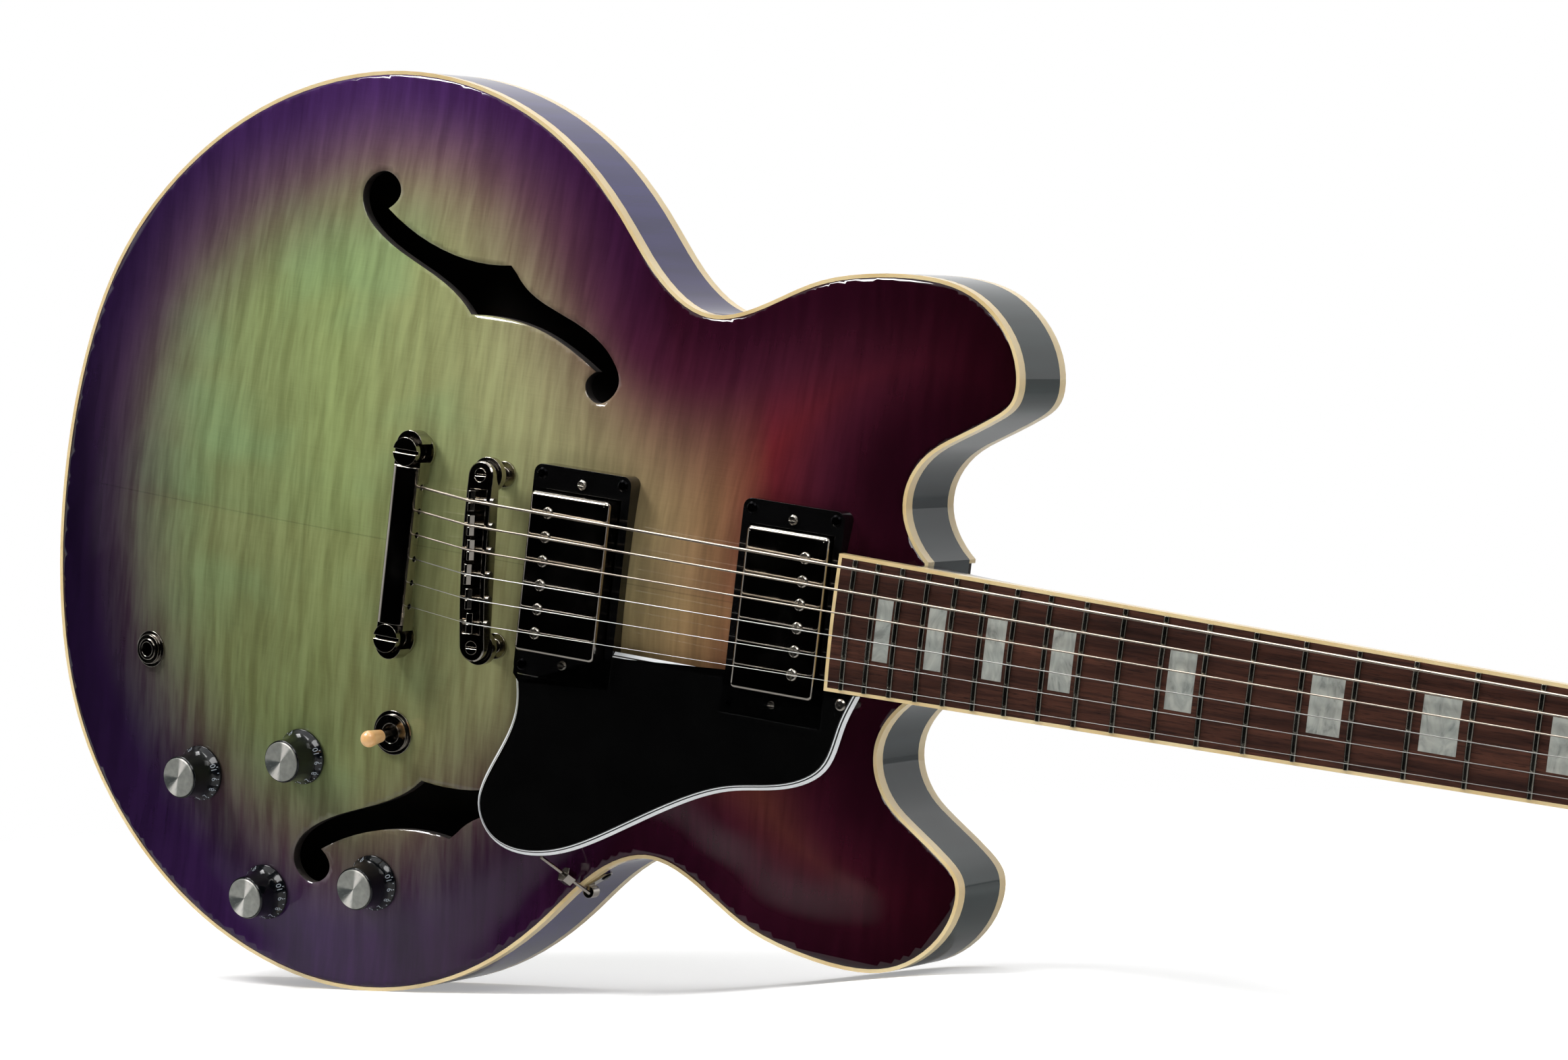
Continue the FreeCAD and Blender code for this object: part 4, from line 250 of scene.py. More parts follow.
def smoothLine(points, count):  # a cubic spline through the points, at even steps
    points = np.array(points, float)
    gaps = np.linalg.norm(np.diff(points, axis=0), axis=1)
    at = np.concatenate([[0], np.cumsum(gaps)])
    slopes = np.diff(points, axis=0) / gaps[:, None]
    last = len(points) - 1
    system, right = np.zeros((last + 1, last + 1)), np.zeros((last + 1, 2))
    for k in range(1, last):
        system[k, k - 1:k + 2] = gaps[k - 1], 2 * (gaps[k - 1] + gaps[k]), gaps[k]
        right[k] = 6 * (slopes[k] - slopes[k - 1])
    first = slopes[0] - gaps[0] * (slopes[1] - slopes[0]) / (gaps[0] + gaps[1])
    final = slopes[-1] + gaps[-1] * (slopes[-1] - slopes[-2]) / (gaps[-1] + gaps[-2])
    system[0, :2], right[0] = (2 * gaps[0], gaps[0]), 6 * (slopes[0] - first)
    system[last, last - 1:], right[last] = (gaps[-1], 2 * gaps[-1]), 6 * (final - slopes[-1])
    bend = np.linalg.solve(system, right)
    fine = np.linspace(0, at[-1], 4000)
    k = np.clip(np.searchsorted(at, fine, "right") - 1, 0, last - 1)
    b = ((fine - at[k]) / gaps[k])[:, None]
    a, wide = 1 - b, gaps[k][:, None] ** 2 / 6
    line = a * points[k] + b * points[k + 1] + ((a ** 3 - a) * bend[k] + (b ** 3 - b) * bend[k + 1]) * wide
    run = np.concatenate([[0], np.cumsum(np.linalg.norm(np.diff(line, axis=0), axis=1))])
    even = np.linspace(0, run[-1], count)
    return np.stack([np.interp(even, run, line[:, 0]), np.interp(even, run, line[:, 1])], 1)


bassLine = [planPoint(shares) for shares in outlineShares] + [(body["rootX"], body["rootHalf"])]
trebleLine = [(x, -y) for x, y in bassLine[:0:-1]]
outline = smoothLine(trebleLine + bassLine, body["outlinePoints"])
rootLine = np.linspace(body["rootHalf"], -body["rootHalf"], body["rootPoints"])
root = [(body["rootX"], y) for y in rootLine[1:]]
outline = np.concatenate([outline, root])


def insideLines(points, starts, ends):  # even-odd test against a set of edges
    inside = np.zeros(len(points), bool)
    for a, b in zip(starts, ends):
        if a[1] == b[1]:
            continue
        spans = (a[1] > points[:, 1]) != (b[1] > points[:, 1])
        crossing = a[0] + (points[:, 1] - a[1]) / (b[1] - a[1]) * (b[0] - a[0])
        inside ^= spans & (points[:, 0] < crossing)
    return inside


def distanceToLines(points, starts, ends):
    nearest = np.full(len(points), 1e9)
    for a, b in zip(starts, ends):
        way = b - a
        share = np.clip(((points - a) @ way) / max(way @ way, 1e-12), 0, 1)
        away = points - a - share[:, None] * way
        nearest = np.minimum(nearest, (away * away).sum(1))
    return np.sqrt(nearest)


def halfWidth(x):
    widest = 0
    for a, b in zip(outline, outline[1:]):
        if min(a[0], b[0]) <= x <= max(a[0], b[0]) and a[0] != b[0]:
            widest = max(widest, abs(a[1] + (x - a[0]) / (b[0] - a[0]) * (b[1] - a[1])))
    return widest


# Shares of the full rise on a coarse grid: the same rule that shapes the solid plates
def archGrid():
    margin, step, half = 2 * body["archStep"], body["archStep"], body["lowerBout"] / 2
    xs = -margin - body["tailToBridge"] + step * np.arange(int((body["length"] + 2 * margin) / step) + 1)
    reachY = int((half + margin) / step)
    ys = step * np.arange(-reachY, reachY + 1)
    soft = body["archSoftness"]
    lengths = np.linalg.norm(np.diff(outline, axis=0), axis=1)
    shares = np.zeros((len(xs), len(ys)))
    for i, x in enumerate(xs):
        line = np.stack([np.full(len(ys), x), ys], 1)
        inside = insideLines(line, outline, np.roll(outline, -1, 0))
        for j in np.nonzero(inside)[0]:
            y = ys[j]
            away = np.hypot(outline[:-1, 0] - x, outline[:-1, 1] - y)
            total = (np.exp(-away / soft) * lengths).sum()
            edge = max(0, -soft * math.log(total / (2 * soft) + math.exp(-body["length"] / soft)))
            edge = min(1, edge / body["archEdge"])
            if x < body["boutCentre"]:
                behind = (body["boutCentre"] - x) / (body["tailToBridge"] + body["boutCentre"])
                reach = behind ** 2 + (y / half) ** 2
            else:
                ahead = max(0, x - body["frontStart"]) / body["frontLength"]
                reach = (y / halfWidth(x)) ** 2 + ahead ** 2
            shares[i, j] = max(0, 1 - reach) ** 1.5 * edge * edge * (3 - 2 * edge)
    return xs, ys, shares


def splineWeights(stations, at):
    count, step = len(stations), stations[1] - stations[0]
    system, right = np.eye(count), np.zeros((count, count))
    for k in range(1, count - 1):
        system[k, k - 1:k + 2] = 1, 4, 1
        right[k, k - 1:k + 2] = 6, -12, 6
    bend = np.linalg.solve(system, right)
    place = (at - stations[0]) / step
    k = np.clip(place.astype(int), 0, count - 2)
    b = (place - k)[:, None]
    a, unit = 1 - b, np.eye(count)
    return a * unit[k] + b * unit[k + 1] + ((a ** 3 - a) * bend[k] + (b ** 3 - b) * bend[k + 1]) / 6


archXs, archYs, archShares = archGrid()


def archShare(xs, ys):
    xs, ys = np.atleast_1d(np.array(xs, float)), np.atleast_1d(np.array(ys, float))
    return ((splineWeights(archXs, xs) @ archShares) * splineWeights(archYs, ys)).sum(1)


def surfaceHeight(side, xs, ys):
    share = archShare(xs, ys)
    return body["topRise"] * share if side > 0 else -body["rimDepth"] - body["backRise"] * share


def topFrame(x, y):  # a frame that stands on the top, as the knobs and switch do
    step = body["archStep"] / 2
    high = surfaceHeight(1, [x, x + step, x - step, x, x], [y, y, y, y + step, y - step])
    normal = Vector((-(high[1] - high[2]) / (2 * step), -(high[3] - high[4]) / (2 * step), 1)).normalized()
    spin = Vector((0, 0, 1)).rotation_difference(normal).to_matrix().to_4x4()
    return Matrix.Translation((x, y, high[0])) @ spin


def finishMesh(mesh, sharpFrom=34):
    mesh.shade_smooth()
    mesh.set_sharp_from_angle(angle=math.radians(sharpFrom))
    mesh.update()


def addPiece(name, mesh, rider, replaced=()):
    piece = bpy.data.objects.new(name, mesh)
    bpy.context.scene.collection.objects.link(piece)
    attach(piece, rider)
    if replaced:
        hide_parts(*replaced)


# A plate again, with the same edges and holes but a fine even skin, which reflects smoothly

def coarseSkin(shape, side):  # the faces on the arched side, the edges round them and their points
    shape.verts.ensure_lookup_table()
    shape.normal_update()
    places = np.array([v.co for v in shape.verts])
    near = np.abs(places[:, 2] - surfaceHeight(side, places[:, 0], places[:, 1])) < body["onSurface"]
    skin = {f for f in shape.faces if f.normal.z * side > 0.5 and all(near[v.index] for v in f.verts)}
    edges = [e for e in shape.edges if sum(f in skin for f in e.link_faces) == 1]
    used = sorted({v.index for e in edges for v in e.verts})
    for index, level in zip(used, surfaceHeight(side, places[used][:, 0], places[used][:, 1])):
        shape.verts[index].co.z = level
    number = {index: k for k, index in enumerate(used)}
    pairs = [(number[e.verts[0].index], number[e.verts[1].index]) for e in edges]
    return skin, used, places[used][:, :2], pairs


def skinSpots(corners, starts, ends):  # rows of points within the edges and clear of them
    step = body["meshStep"]
    low, high = corners.min(0), corners.max(0)
    rows = np.arange(low[1], high[1], step * math.sqrt(3) / 2)
    columns = np.arange(low[0], high[0], step)
    spots = np.array([(x + (k % 2) * step / 2, y) for k, y in enumerate(rows) for x in columns])
    spots = spots[insideLines(spots, starts, ends)]
    return spots[distanceToLines(spots, starts, ends) > body["meshClear"]]


def fineSkin(shape, side):
    skin, used, corners, pairs = coarseSkin(shape, side)
    starts, ends = corners[[a for a, _ in pairs]], corners[[b for _, b in pairs]]
    flat = [Vector(p) for p in np.concatenate([corners, skinSpots(corners, starts, ends)])]
    made, _, faces, origin, _, _ = delaunay_2d_cdt(flat, pairs, [], 0, 1e-6)
    middles = np.array([sum((made[k] for k in face), Vector((0, 0))) / 3 for face in faces])
    keep = insideLines(middles, starts, ends)
    bmesh.ops.delete(shape, geom=list(skin), context="FACES_ONLY")
    shape.verts.ensure_lookup_table()
    levels = surfaceHeight(side, [p.x for p in made], [p.y for p in made])
    joined = []
    for k, point in enumerate(made):
        known = [n for n in origin[k] if n < len(used)]
        if known:
            joined.append(shape.verts[used[known[0]]])
        else:
            joined.append(shape.verts.new((point.x, point.y, levels[k])))
    for face, wanted in zip(faces, keep):
        if wanted:
            order = face if side > 0 else face[::-1]
            shape.faces.new([joined[k] for k in order]).tag = True
    bmesh.ops.delete(shape, geom=[v for v in shape.verts if not v.link_faces], context="VERTS")


def archedPlate(name, node, side, lacquer, rawInShade):
    shape = bmesh.new()
    shape.from_mesh(nodes[node].data)
    bmesh.ops.remove_doubles(shape, verts=shape.verts, dist=body["weld"] / 1000)
    shape.transform(toGuitar)
    fineSkin(shape, side)
    shape.normal_update()
    plan = shape.loops.layers.uv.new("plan")
    for face in shape.faces:
        # the fine skin takes the lacquer, everything else the near-black painted shade
        face.material_index = 0 if face.tag else 1
        for loop in face.loops:
            loop[plan].uv = loop.vert.co.x / 1000, loop.vert.co.y / 1000
    mesh = bpy.data.meshes.new(name)
    places = np.array([v.co for v in shape.verts])[:, :2]
    shape.transform(toRow)
    shape.to_mesh(mesh)
    shape.free()
    edge = mesh.attributes.new("rimDistance", "FLOAT", "POINT")
    away = distanceToLines(places, outline, np.roll(outline, -1, 0)) / 1000
    edge.data.foreach_set("value", away.astype(np.float32))
    mesh.materials.append(lacquer)
    mesh.materials.append(rawInShade)
    finishMesh(mesh)
    print(name, len(mesh.polygons), "faces")
    addPiece(name, mesh, "guitar", [node])


# Finishes

# The sunburst, from the tail to the horns: a green and tan middle, then red, within a violet rim. The middle
# darkens towards the tail, partly the burst's own colour and partly painted shade
burstColours = {
    "centre": [(0.0, "5f6449"), (0.32, "828d58"), (0.55, "98926a"), (0.70, "7a5a40"), (0.76, "682020"),
               (1.0, "2c060b")],
    "middle": [(0.0, "38283c"), (0.42, "755a55"), (0.62, "4b2030"), (1.0, "2c050c")],
    "edge": [(0.0, "1b0f27"), (0.38, "45285a"), (0.66, "2c0b1c"), (1.0, "1c040a")],
}
# Lengths in millimetres, noise scales per metre, and the seam and the waves' shift in metres
burst = {
    "behind": 240, "length": 500, "sideways": 200, "clouds": (9, 9, 9), "wander": 16,
    "patches": (11, 22, 1), "patchShare": 0.34, "trebleShare": 0.12, "green": (120, 20),
    "middleFade": (26, 88), "rimFade": (2, 52), "rimWander": 22, "trebleNarrow": 20,
    "waves": (14, 9, 1), "waveShift": 0.012, "flames": (190, 190, 1), "slant": 0.11,
    "fine": (520, 30, 1), "fibres": (60, 2600, 1), "base": 0.78, "flameShare": 0.34,
    "fineShare": 0.24, "fibreShare": 0.14, "seam": (0.0004, 0.0001), "seamShare": 0.22,
}


def burstColour(finish, plan, pattern):  # the colour, and how far along and in from the rim
    x, y, _ = finish.parts(plan)
    edge = finish.node("Attribute", {"attribute_name": "rimDistance"}, {}, 2) * 1000
    cloud = finish.noise(finish.stretched(plan, burst["clouds"]), 1.0, 1)
    along = x * 1000 + abs(y) * burst["sideways"] + (cloud - 0.5) * burst["wander"]
    share = (along + burst["behind"]) / burst["length"]
    centre, middle, rim = (finish.ramp(share, burstColours[zone]) for zone in ("centre", "middle", "edge"))
    mirrored = finish.joined(x, abs(y), pattern)
    patch = finish.noise(finish.stretched(mirrored, burst["patches"]), 1.0, 2)
    patches = finish.ease(patch, 0.48, 0.70) * finish.ease(along, 40, -60) * burst["patchShare"]
    centre = finish.mix(patches, centre, paint("74966a"))
    treble = finish.ease(y, 0.003, -0.003)
    centre = finish.mix(treble * burst["trebleShare"], centre, paint("a08f5c"))
    green = finish.ease(along, *burst["green"])
    narrow = finish.ease(y, 0.0, -0.12) * green * burst["trebleNarrow"]
    soft = edge + (cloud - 0.5) * burst["rimWander"] - narrow
    colour = finish.mix(finish.ease(soft, *burst["middleFade"]), middle, centre)
    return finish.mix(finish.ease(soft, *burst["rimFade"]), rim, colour), along, edge, green


def mapleFinish(name, pattern):
    finish = Finish(name, IOR=1.5, Specular_IOR_Level=0.0,
                    Coat_Weight=1.0, Coat_Roughness=0.035, Coat_IOR=1.5)
    plan = finish.node("UVMap", {"uv_map": "plan"})
    x, y, _ = finish.parts(plan)
    colour, along, edge, green = burstColour(finish, plan, pattern)
    # Flame across the neck's line, fine fibres along it, the seam of the two leaves, and painted shade over
    # the treble side
    mirrored = finish.joined(x, abs(y), pattern)
    wave = finish.noise(finish.stretched(mirrored, burst["waves"]), 1.0, 2)
    flameAt = finish.joined(x + (wave - 0.5) * burst["waveShift"], abs(y) * burst["slant"], pattern)
    flame = finish.noise(finish.stretched(flameAt, burst["flames"]), 1.0, 3, 0.6)
    flame = finish.ease(flame, 0.28, 0.74)
    fine = finish.noise(finish.stretched(mirrored, burst["fine"]), 1.0, 2)
    fibres = finish.noise(finish.stretched(mirrored, burst["fibres"]), 1.0, 2)
    light = burst["base"] + flame * burst["flameShare"] + (fine - 0.5) * burst["fineShare"]
    light = light + (fibres - 0.5) * burst["fibreShare"]
    light = light * (1 - finish.ease(abs(y), *burst["seam"]) * burst["seamShare"])
    # painted shade: the treble side darker, as if lit from above, fading out towards the neck
    light = light * (1.04 - finish.ease(y, 0.08, -0.10) * green * 0.5)
    colour = finish.mix(1.0, colour, finish.joined(light, light, light), "MULTIPLY")
    # painted sheen: a pale sea-green highlight on the bright flame in the middle of the lower bout
    lit = flame * 0.10 * finish.ease(edge, 20, 60) * finish.ease(along, 80, 10)
    colour = finish.mix(lit, colour, paint("8fae84"))
    finish.feed("Base Color", colour)
    finish.feed("Roughness", 0.36 + fine * 0.16)
    finish.feed("Normal", finish.bump(finish.noise(finish.objectPlace(), 60, 1), 0.05, 0.0004))
    return finish.material


def rawFinish():
    # the plates' inside and the hole walls: maple painted near black, painted shade of the closed body
    finish = Finish("rawMapleInShade", Roughness=0.8)
    place = finish.guitarPlace()
    streaks = finish.noise(finish.stretched(place, (18, 260, 260)), 1.0, 3)
    finish.feed("Base Color", finish.ramp(streaks, [(0.25, "0f0a07"), (0.55, "1a120c"), (0.8, "261a12")]))
    finish.feed("Roughness", 0.7 + streaks * 0.2)
    finish.feed("Normal", finish.bump(streaks, 0.3, 0.0004))
    return finish.material


def sideFinish():
    finish = Finish("stainedSides", IOR=1.5, Specular_IOR_Level=0.0, Coat_Weight=1.0, Coat_Roughness=0.04)
    place = finish.guitarPlace()
    x, _, _ = finish.parts(place)
    share = (x * 1000 + body["tailToBridge"]) / burst["length"]
    colour = finish.ramp(share, [(0.0, "1d1330"), (0.25, "2b2350"), (0.55, "2f2a5c"), (0.72, "2a2140"),
                                 (0.84, "232c30"), (1.0, "26302f")])
    flame = finish.noise(finish.stretched(place, (150, 150, 9)), 1.0, 2)
    light = 0.82 + finish.ease(flame, 0.3, 0.7) * 0.34
    finish.feed("Base Color", finish.mix(1.0, colour, finish.joined(light, light, light), "MULTIPLY"))
    finish.feed("Roughness", 0.34 + flame * 0.16)
    finish.feed("Normal", finish.bump(finish.noise(finish.objectPlace(), 70, 1), 0.04, 0.0004))
    return finish.material


def neckFinish():
    finish = Finish("neckLacquer", IOR=1.5, Specular_IOR_Level=0.1, Coat_Weight=1.0, Coat_Roughness=0.05)
    place = finish.guitarPlace()
    x, y, z = finish.parts(place)
    grain = finish.noise(finish.stretched(place, (10, 240, 240)), 1.0, 4, 0.6)
    colour = finish.ramp(grain, [(0.25, "22060a"), (0.5, "360b10"), (0.78, "4b1416")])
    # painted shade: the neck darkens to a dark grey towards the body and within it
    heelShade = finish.ease(x, 0.30, 0.20)
    colour = finish.mix(heelShade * 0.8, colour, paint("1f2226"))
    # The face of the headstock is black: the points past the nut and above a plane just under it
    split = headFrame.to_3x3() @ Vector((0, 0, 1))
    level = headFrame @ Vector((0, 0, -neck["faceDepth"]))
    height = x * split.x + y * split.y + z * split.z - level.dot(split) / 1000
    black = (height > 0) * (x > level.x / 1000 + 0.001)
    finish.feed("Base Color", finish.mix(black, colour, paint("060606")))
    finish.feed("Roughness", 0.32 + grain * 0.14)
    finish.feed("Normal", finish.bump(grain, 0.05, 0.0003))
    return finish.material


def rosewoodFinish():
    finish = Finish("rosewood", IOR=1.45, Specular_IOR_Level=0.22)
    place = finish.guitarPlace()
    bands = finish.noise(finish.stretched(place, (9, 130, 60)), 1.0, 3, 0.6)
    pores = finish.noise(finish.stretched(place, (160, 2400, 900)), 1.0, 2, 0.6)
    streaks = finish.noise(finish.stretched(place, (36, 900, 300)), 1.0, 3, 0.6)
    colour = finish.ramp(bands, [(0.22, "24120d"), (0.45, "3c2118"), (0.62, "4c2c20"), (0.82, "5a3627")])
    colour = finish.mix(finish.ease(streaks, 0.44, 0.66) * 0.55, colour, paint("1d0f0c"))
    colour = finish.mix(finish.ease(pores, 0.58, 0.70) * 0.7, colour, paint("120907"))
    finish.feed("Base Color", colour)
    finish.feed("Roughness", 0.42 + streaks * 0.22)
    finish.feed("Normal", finish.bump(pores, 0.35, 0.0002))
    return finish.material


def bindingFinish():
    finish = Finish("agedBinding", Roughness=0.34, IOR=1.5, Coat_Weight=0.8, Coat_Roughness=0.06,
                    Subsurface_Weight=0.06, Subsurface_Scale=0.002)
    place = finish.guitarPlace()
    patch = finish.noise(place, 26, 3)
    finish.feed("Base Color", finish.ramp(patch, [(0.25, "cdb078"), (0.5, "dcc594"), (0.8, "e6d4a8")]))
    finish.feed("Roughness", 0.3 + patch * 0.12)
    finish.feed("Normal", finish.bump(finish.noise(place, 300, 2), 0.03, 0.0002))
    return finish.material


def pearlFinish():
    finish = Finish("pearloid", Roughness=0.28, IOR=1.55, Coat_Weight=0.6, Coat_Roughness=0.08)
    place = finish.guitarPlace()
    wander = finish.noise(place, 120, 2)
    folded = finish.node("TexNoise", {}, {
        "Vector": finish.stretched(place, (150, 70, 90)), "Scale": 1.0, "Detail": 3, "Distortion": 2.2})
    colour = finish.ramp(folded, [(0.25, "7a7c77"), (0.45, "91938c"), (0.62, "a3a49c"), (0.82, "b4b4aa")])
    finish.feed("Base Color", finish.mix((wander - 0.3) * 0.5, colour, paint("8c9a98")))
    finish.feed("Roughness", 0.2 + folded * 0.2)
    finish.feed("Normal", finish.bump(folded, 0.06, 0.0002))
    return finish.material


def boneFinish():
    finish = Finish("bone", Roughness=0.45, Subsurface_Weight=0.1, Subsurface_Scale=0.002)
    patch = finish.noise(finish.guitarPlace(), 90, 4)
    finish.feed("Base Color", finish.ramp(patch, [(0.3, "cfc4a4"), (0.55, "e2dabd"), (0.8, "efe9d2")]))
    finish.feed("Roughness", 0.36 + patch * 0.16)
    finish.feed("Normal", finish.bump(patch, 0.05, 0.0002))
    return finish.material


def metalFinish(name, low, high, rough, radius=0.00035):
    finish = Finish(name, Metallic=1.0)
    place = finish.objectPlace()
    haze = finish.noise(place, 45, 4, 0.6)
    scratch = finish.noise(finish.stretched(place, (1800, 260, 700)), 1.0, 2)
    finish.feed("Base Color", finish.ramp(haze, [(0.25, low), (0.75, high)]))
    finish.feed("Roughness", rough + finish.ease(haze, 0.4, 0.8) * 0.10 + (scratch - 0.5) * 0.04)
    edges = finish.rounded(radius)
    finish.feed("Normal", finish.bump(scratch, 0.03, 0.0001, edges))
    return finish.material


windingPitch = 0.00042


def stringFinish():  # wound on the bass side, plain on the treble side
    finish = Finish("strings", Metallic=1.0)
    x, y, _ = finish.parts(finish.guitarPlace())
    wound = y > 0
    turns = finish.node("Math", {"operation": "SINE"}, {0: x * (2 * math.pi / windingPitch)})
    haze = finish.noise(finish.objectPlace(), 80, 3)
    plain = finish.ramp(haze, [(0.3, "bdbcb8"), (0.7, "dddbd6")])
    finish.feed("Base Color", finish.mix(wound, plain, finish.ramp(haze, [(0.3, "b5aa9e"), (0.7, "d6cbbb")])))
    finish.feed("Roughness", 0.3 + wound * 0.08 + haze * 0.06)
    finish.feed("Normal", finish.bump(turns * wound, 0.35, 0.00008))
    return finish.material


def plasticFinish(name, base, worn, rough, radius=0.0004):
    finish = Finish(name, IOR=1.5, Specular_IOR_Level=0.2, Coat_Weight=0.8, Coat_Roughness=0.04)
    place = finish.objectPlace()
    haze = finish.noise(place, 60, 4, 0.6)
    dust = finish.noise(place, 1400, 2)
    colour = finish.ramp(haze, [(0.3, base), (0.8, worn)])
    finish.feed("Base Color", finish.mix(finish.ease(dust, 0.66, 0.74) * 0.25, colour, paint("303236")))
    finish.feed("Roughness", rough + haze * 0.10)
    finish.feed("Normal", finish.bump(haze, 0.03, 0.0003, finish.rounded(radius)))
    return finish.material


def toggleFinish():  # a metal lever with a cream tip
    finish = Finish("toggleLever", Roughness=0.3, IOR=1.5, Coat_Weight=0.6, Coat_Roughness=0.06)
    up = toggleFrame.to_3x3() @ Vector((0, 0, 1))
    x, y, z = finish.parts(finish.guitarPlace())
    tipRoot = toggleFrame @ Vector((0, 0, controls["toggleTip"]))
    tip = x * up.x + y * up.y + z * up.z - tipRoot.dot(up) / 1000 > 0
    haze = finish.noise(finish.objectPlace(), 220, 3)
    cream = finish.ramp(haze, [(0.3, "d9a468"), (0.75, "ecc28c")])
    finish.feed("Base Color", finish.mix(tip, paint("b4ada3"), cream))
    finish.feed("Metallic", 1 - tip)
    finish.feed("Roughness", 0.18 + tip * 0.14 + haze * 0.06)
    finish.feed("Normal", finish.bump(haze, 0.03, 0.0002))
    return finish.material


def woodFinish(name, low, high):
    finish = Finish(name, Roughness=0.65)
    place = finish.guitarPlace()
    grain = finish.noise(finish.stretched(place, (12, 300, 300)), 1.0, 3, 0.6)
    finish.feed("Base Color", finish.ramp(grain, [(0.3, low), (0.75, high)]))
    finish.feed("Roughness", 0.55 + grain * 0.2)
    finish.feed("Normal", finish.bump(grain, 0.2, 0.0003))
    return finish.material


# Where the pickup rings' screws are, in metres: along the strings, beyond both sides and above
ringScrews = {"from": 0.01, "to": 0.172, "beyond": 0.037, "above": -0.02}


def screwFinish():  # black at the pickup rings' corners, nickel elsewhere
    finish = Finish("woodScrews", Metallic=1.0)
    x, y, z = finish.parts(finish.guitarPlace())
    between = (x > ringScrews["from"]) * (x < ringScrews["to"])
    rings = between * (abs(y) > ringScrews["beyond"]) * (z > ringScrews["above"])
    haze = finish.noise(finish.objectPlace(), 400, 3)
    nickel = finish.ramp(haze, [(0.3, "a49d94"), (0.75, "c4beb4")])
    finish.feed("Base Color", finish.mix(rings, nickel, paint("0b0b0c")))
    finish.feed("Roughness", 0.2 + haze * 0.14)
    finish.feed("Normal", finish.bump(haze, 0.05, 0.0001, finish.rounded(0.0002)))
    return finish.material


# Places on the top, as shares of its length and half width
controls = {
    "knobs": {"knob_bridge_tone": (0.2034, -0.5928), "knob_bridge_volume": (0.3226, -0.5052),
              "knob_neck_tone": (0.2871, -0.8242), "knob_neck_volume": (0.4083, -0.7494)},
    "toggle": (0.4221, -0.4116), "toggleTip": 9.9,
}
neck = {
    "pitch": 5.1, "boardHeight": 19.7, "datum": 176.4, "boardThickness": 6.0,
    "scaleLength": 628.65, "nutThickness": 5.0, "headPitch": 14.0, "faceDepth": 0.7,
}
neckPitch, datum = math.radians(neck["pitch"]), neck["datum"]
boardRoot = datum - datum * math.cos(neckPitch), 0, neck["boardHeight"] + datum * math.sin(neckPitch)
neckFrame = Matrix.Translation(boardRoot) @ Matrix.Rotation(neckPitch, 4, "Y")
headRoot = neck["scaleLength"] + neck["nutThickness"], 0, -neck["boardThickness"]
headTilt = Matrix.Rotation(math.radians(neck["headPitch"]), 4, "Y")
headFrame = neckFrame @ Matrix.Translation(headRoot) @ headTilt
toggleFrame = topFrame(*planPoint(controls["toggle"]))

nickel = metalFinish("nickel", "a29b92", "c6c0b7", 0.09)
smallNickel = metalFinish("smallNickel", "b3aca2", "d6d1c8", 0.24, 0.0002)
finishes = {
    "rim_bass": sideFinish(), "body_binding": bindingFinish(), "neck": neckFinish(),
    "fretboard": rosewoodFinish(), "position_inlays": pearlFinish(), "nut": boneFinish(),
    "frets": metalFinish("fretWire", "8d8a80", "b5b1a6", 0.22, 0.0003),
    "strings": stringFinish(), "toggle_lever": toggleFinish(), "wood_screws": screwFinish(),
    # the centre block painted near black: painted shade inside the closed body
    "centre_block": woodFinish("blockWoodInShade", "1f1610", "30241a"),
    "truss_rod": metalFinish("rodSteel", "55565a", "7c7d80", 0.4),
    "truss_rod_cover": plasticFinish("coverBlack", "060606", "0c0c0d", 0.16),
    "bridge_pickup_ring": plasticFinish("ringBlack", "050505", "0a0a0b", 0.14),
    "bridge_pickup_coils": plasticFinish("coilBlack", "0a0a0a", "161617", 0.5),
    "potentiometers": metalFinish("potMetal", "8b877c", "aaa69a", 0.3),
    "pickup_height_screws": smallNickel, "bridge_pickup_pole_screws": smallNickel,
    "neck_pickup_pole_screws": smallNickel, "saddle_screws": smallNickel,
}
sameAs = {
    "rim_treble": "rim_bass", "fretboard_binding": "body_binding", "neck_pickup_ring": "bridge_pickup_ring",
    "neck_pickup_coils": "bridge_pickup_coils",
}
replacedNodes = {"top_plate", "back_plate", "pickguard", *controls["knobs"]}
for node, holder in nodes.items():
    if node not in replacedNodes:
        holder.material_slots[0].material = finishes.get(sameAs.get(node, node), nickel)
print("finishes made:", len(bpy.data.materials))

rawInShade = rawFinish()
archedPlate("flamed_top", "top_plate", 1, mapleFinish("flamedTop", 0.3), rawInShade)
archedPlate("flamed_back", "back_plate", -1, mapleFinish("flamedBack", 0.7), rawInShade)


# The layered pickguard

guard = {
    "pitch": 2.5, "top": 17.0, "datum": 176.0, "gap": 0.3, "ringWidth": 47.4, "ringLength": 90.4,
    "bridgeRing": 42.3, "neckRing": 144.0, "edgePoints": 90, "sharpFrom": 25,
    # each step: how far in from the full outline, how deep, and the ply that ends there
    "steps": [(2.5, 0.0, 0), (2.15, 0.32, 0), (1.75, 0.72, 1), (1.25, 1.2, 0),
              (0.25, 2.15, 1), (0.0, 2.4, 1), (0.0, 2.6, 0)],
}
guardShares = [
    (0.5595, -0.2285), (0.5632, -0.2989), (0.5397, -0.4530), (0.5351, -0.5126),
    (0.5514, -0.5785), (0.6002, -0.5992), (0.6724, -0.5268), (0.7359, -0.4357),
    (0.7867, -0.3836), (0.8385, -0.3580), (0.8767, -0.3003), (0.8891, -0.2048),
    (0.8990, -0.1452),
]
guardPitch = math.radians(guard["pitch"])
guardFrame = Matrix.Translation((guard["datum"], 0, guard["top"])) @ Matrix.Rotation(guardPitch, 4, "Y")
nearlyStraight = 0.05


def guardLocal(x, y):
    return (x - guard["datum"]) / math.cos(guardPitch), y


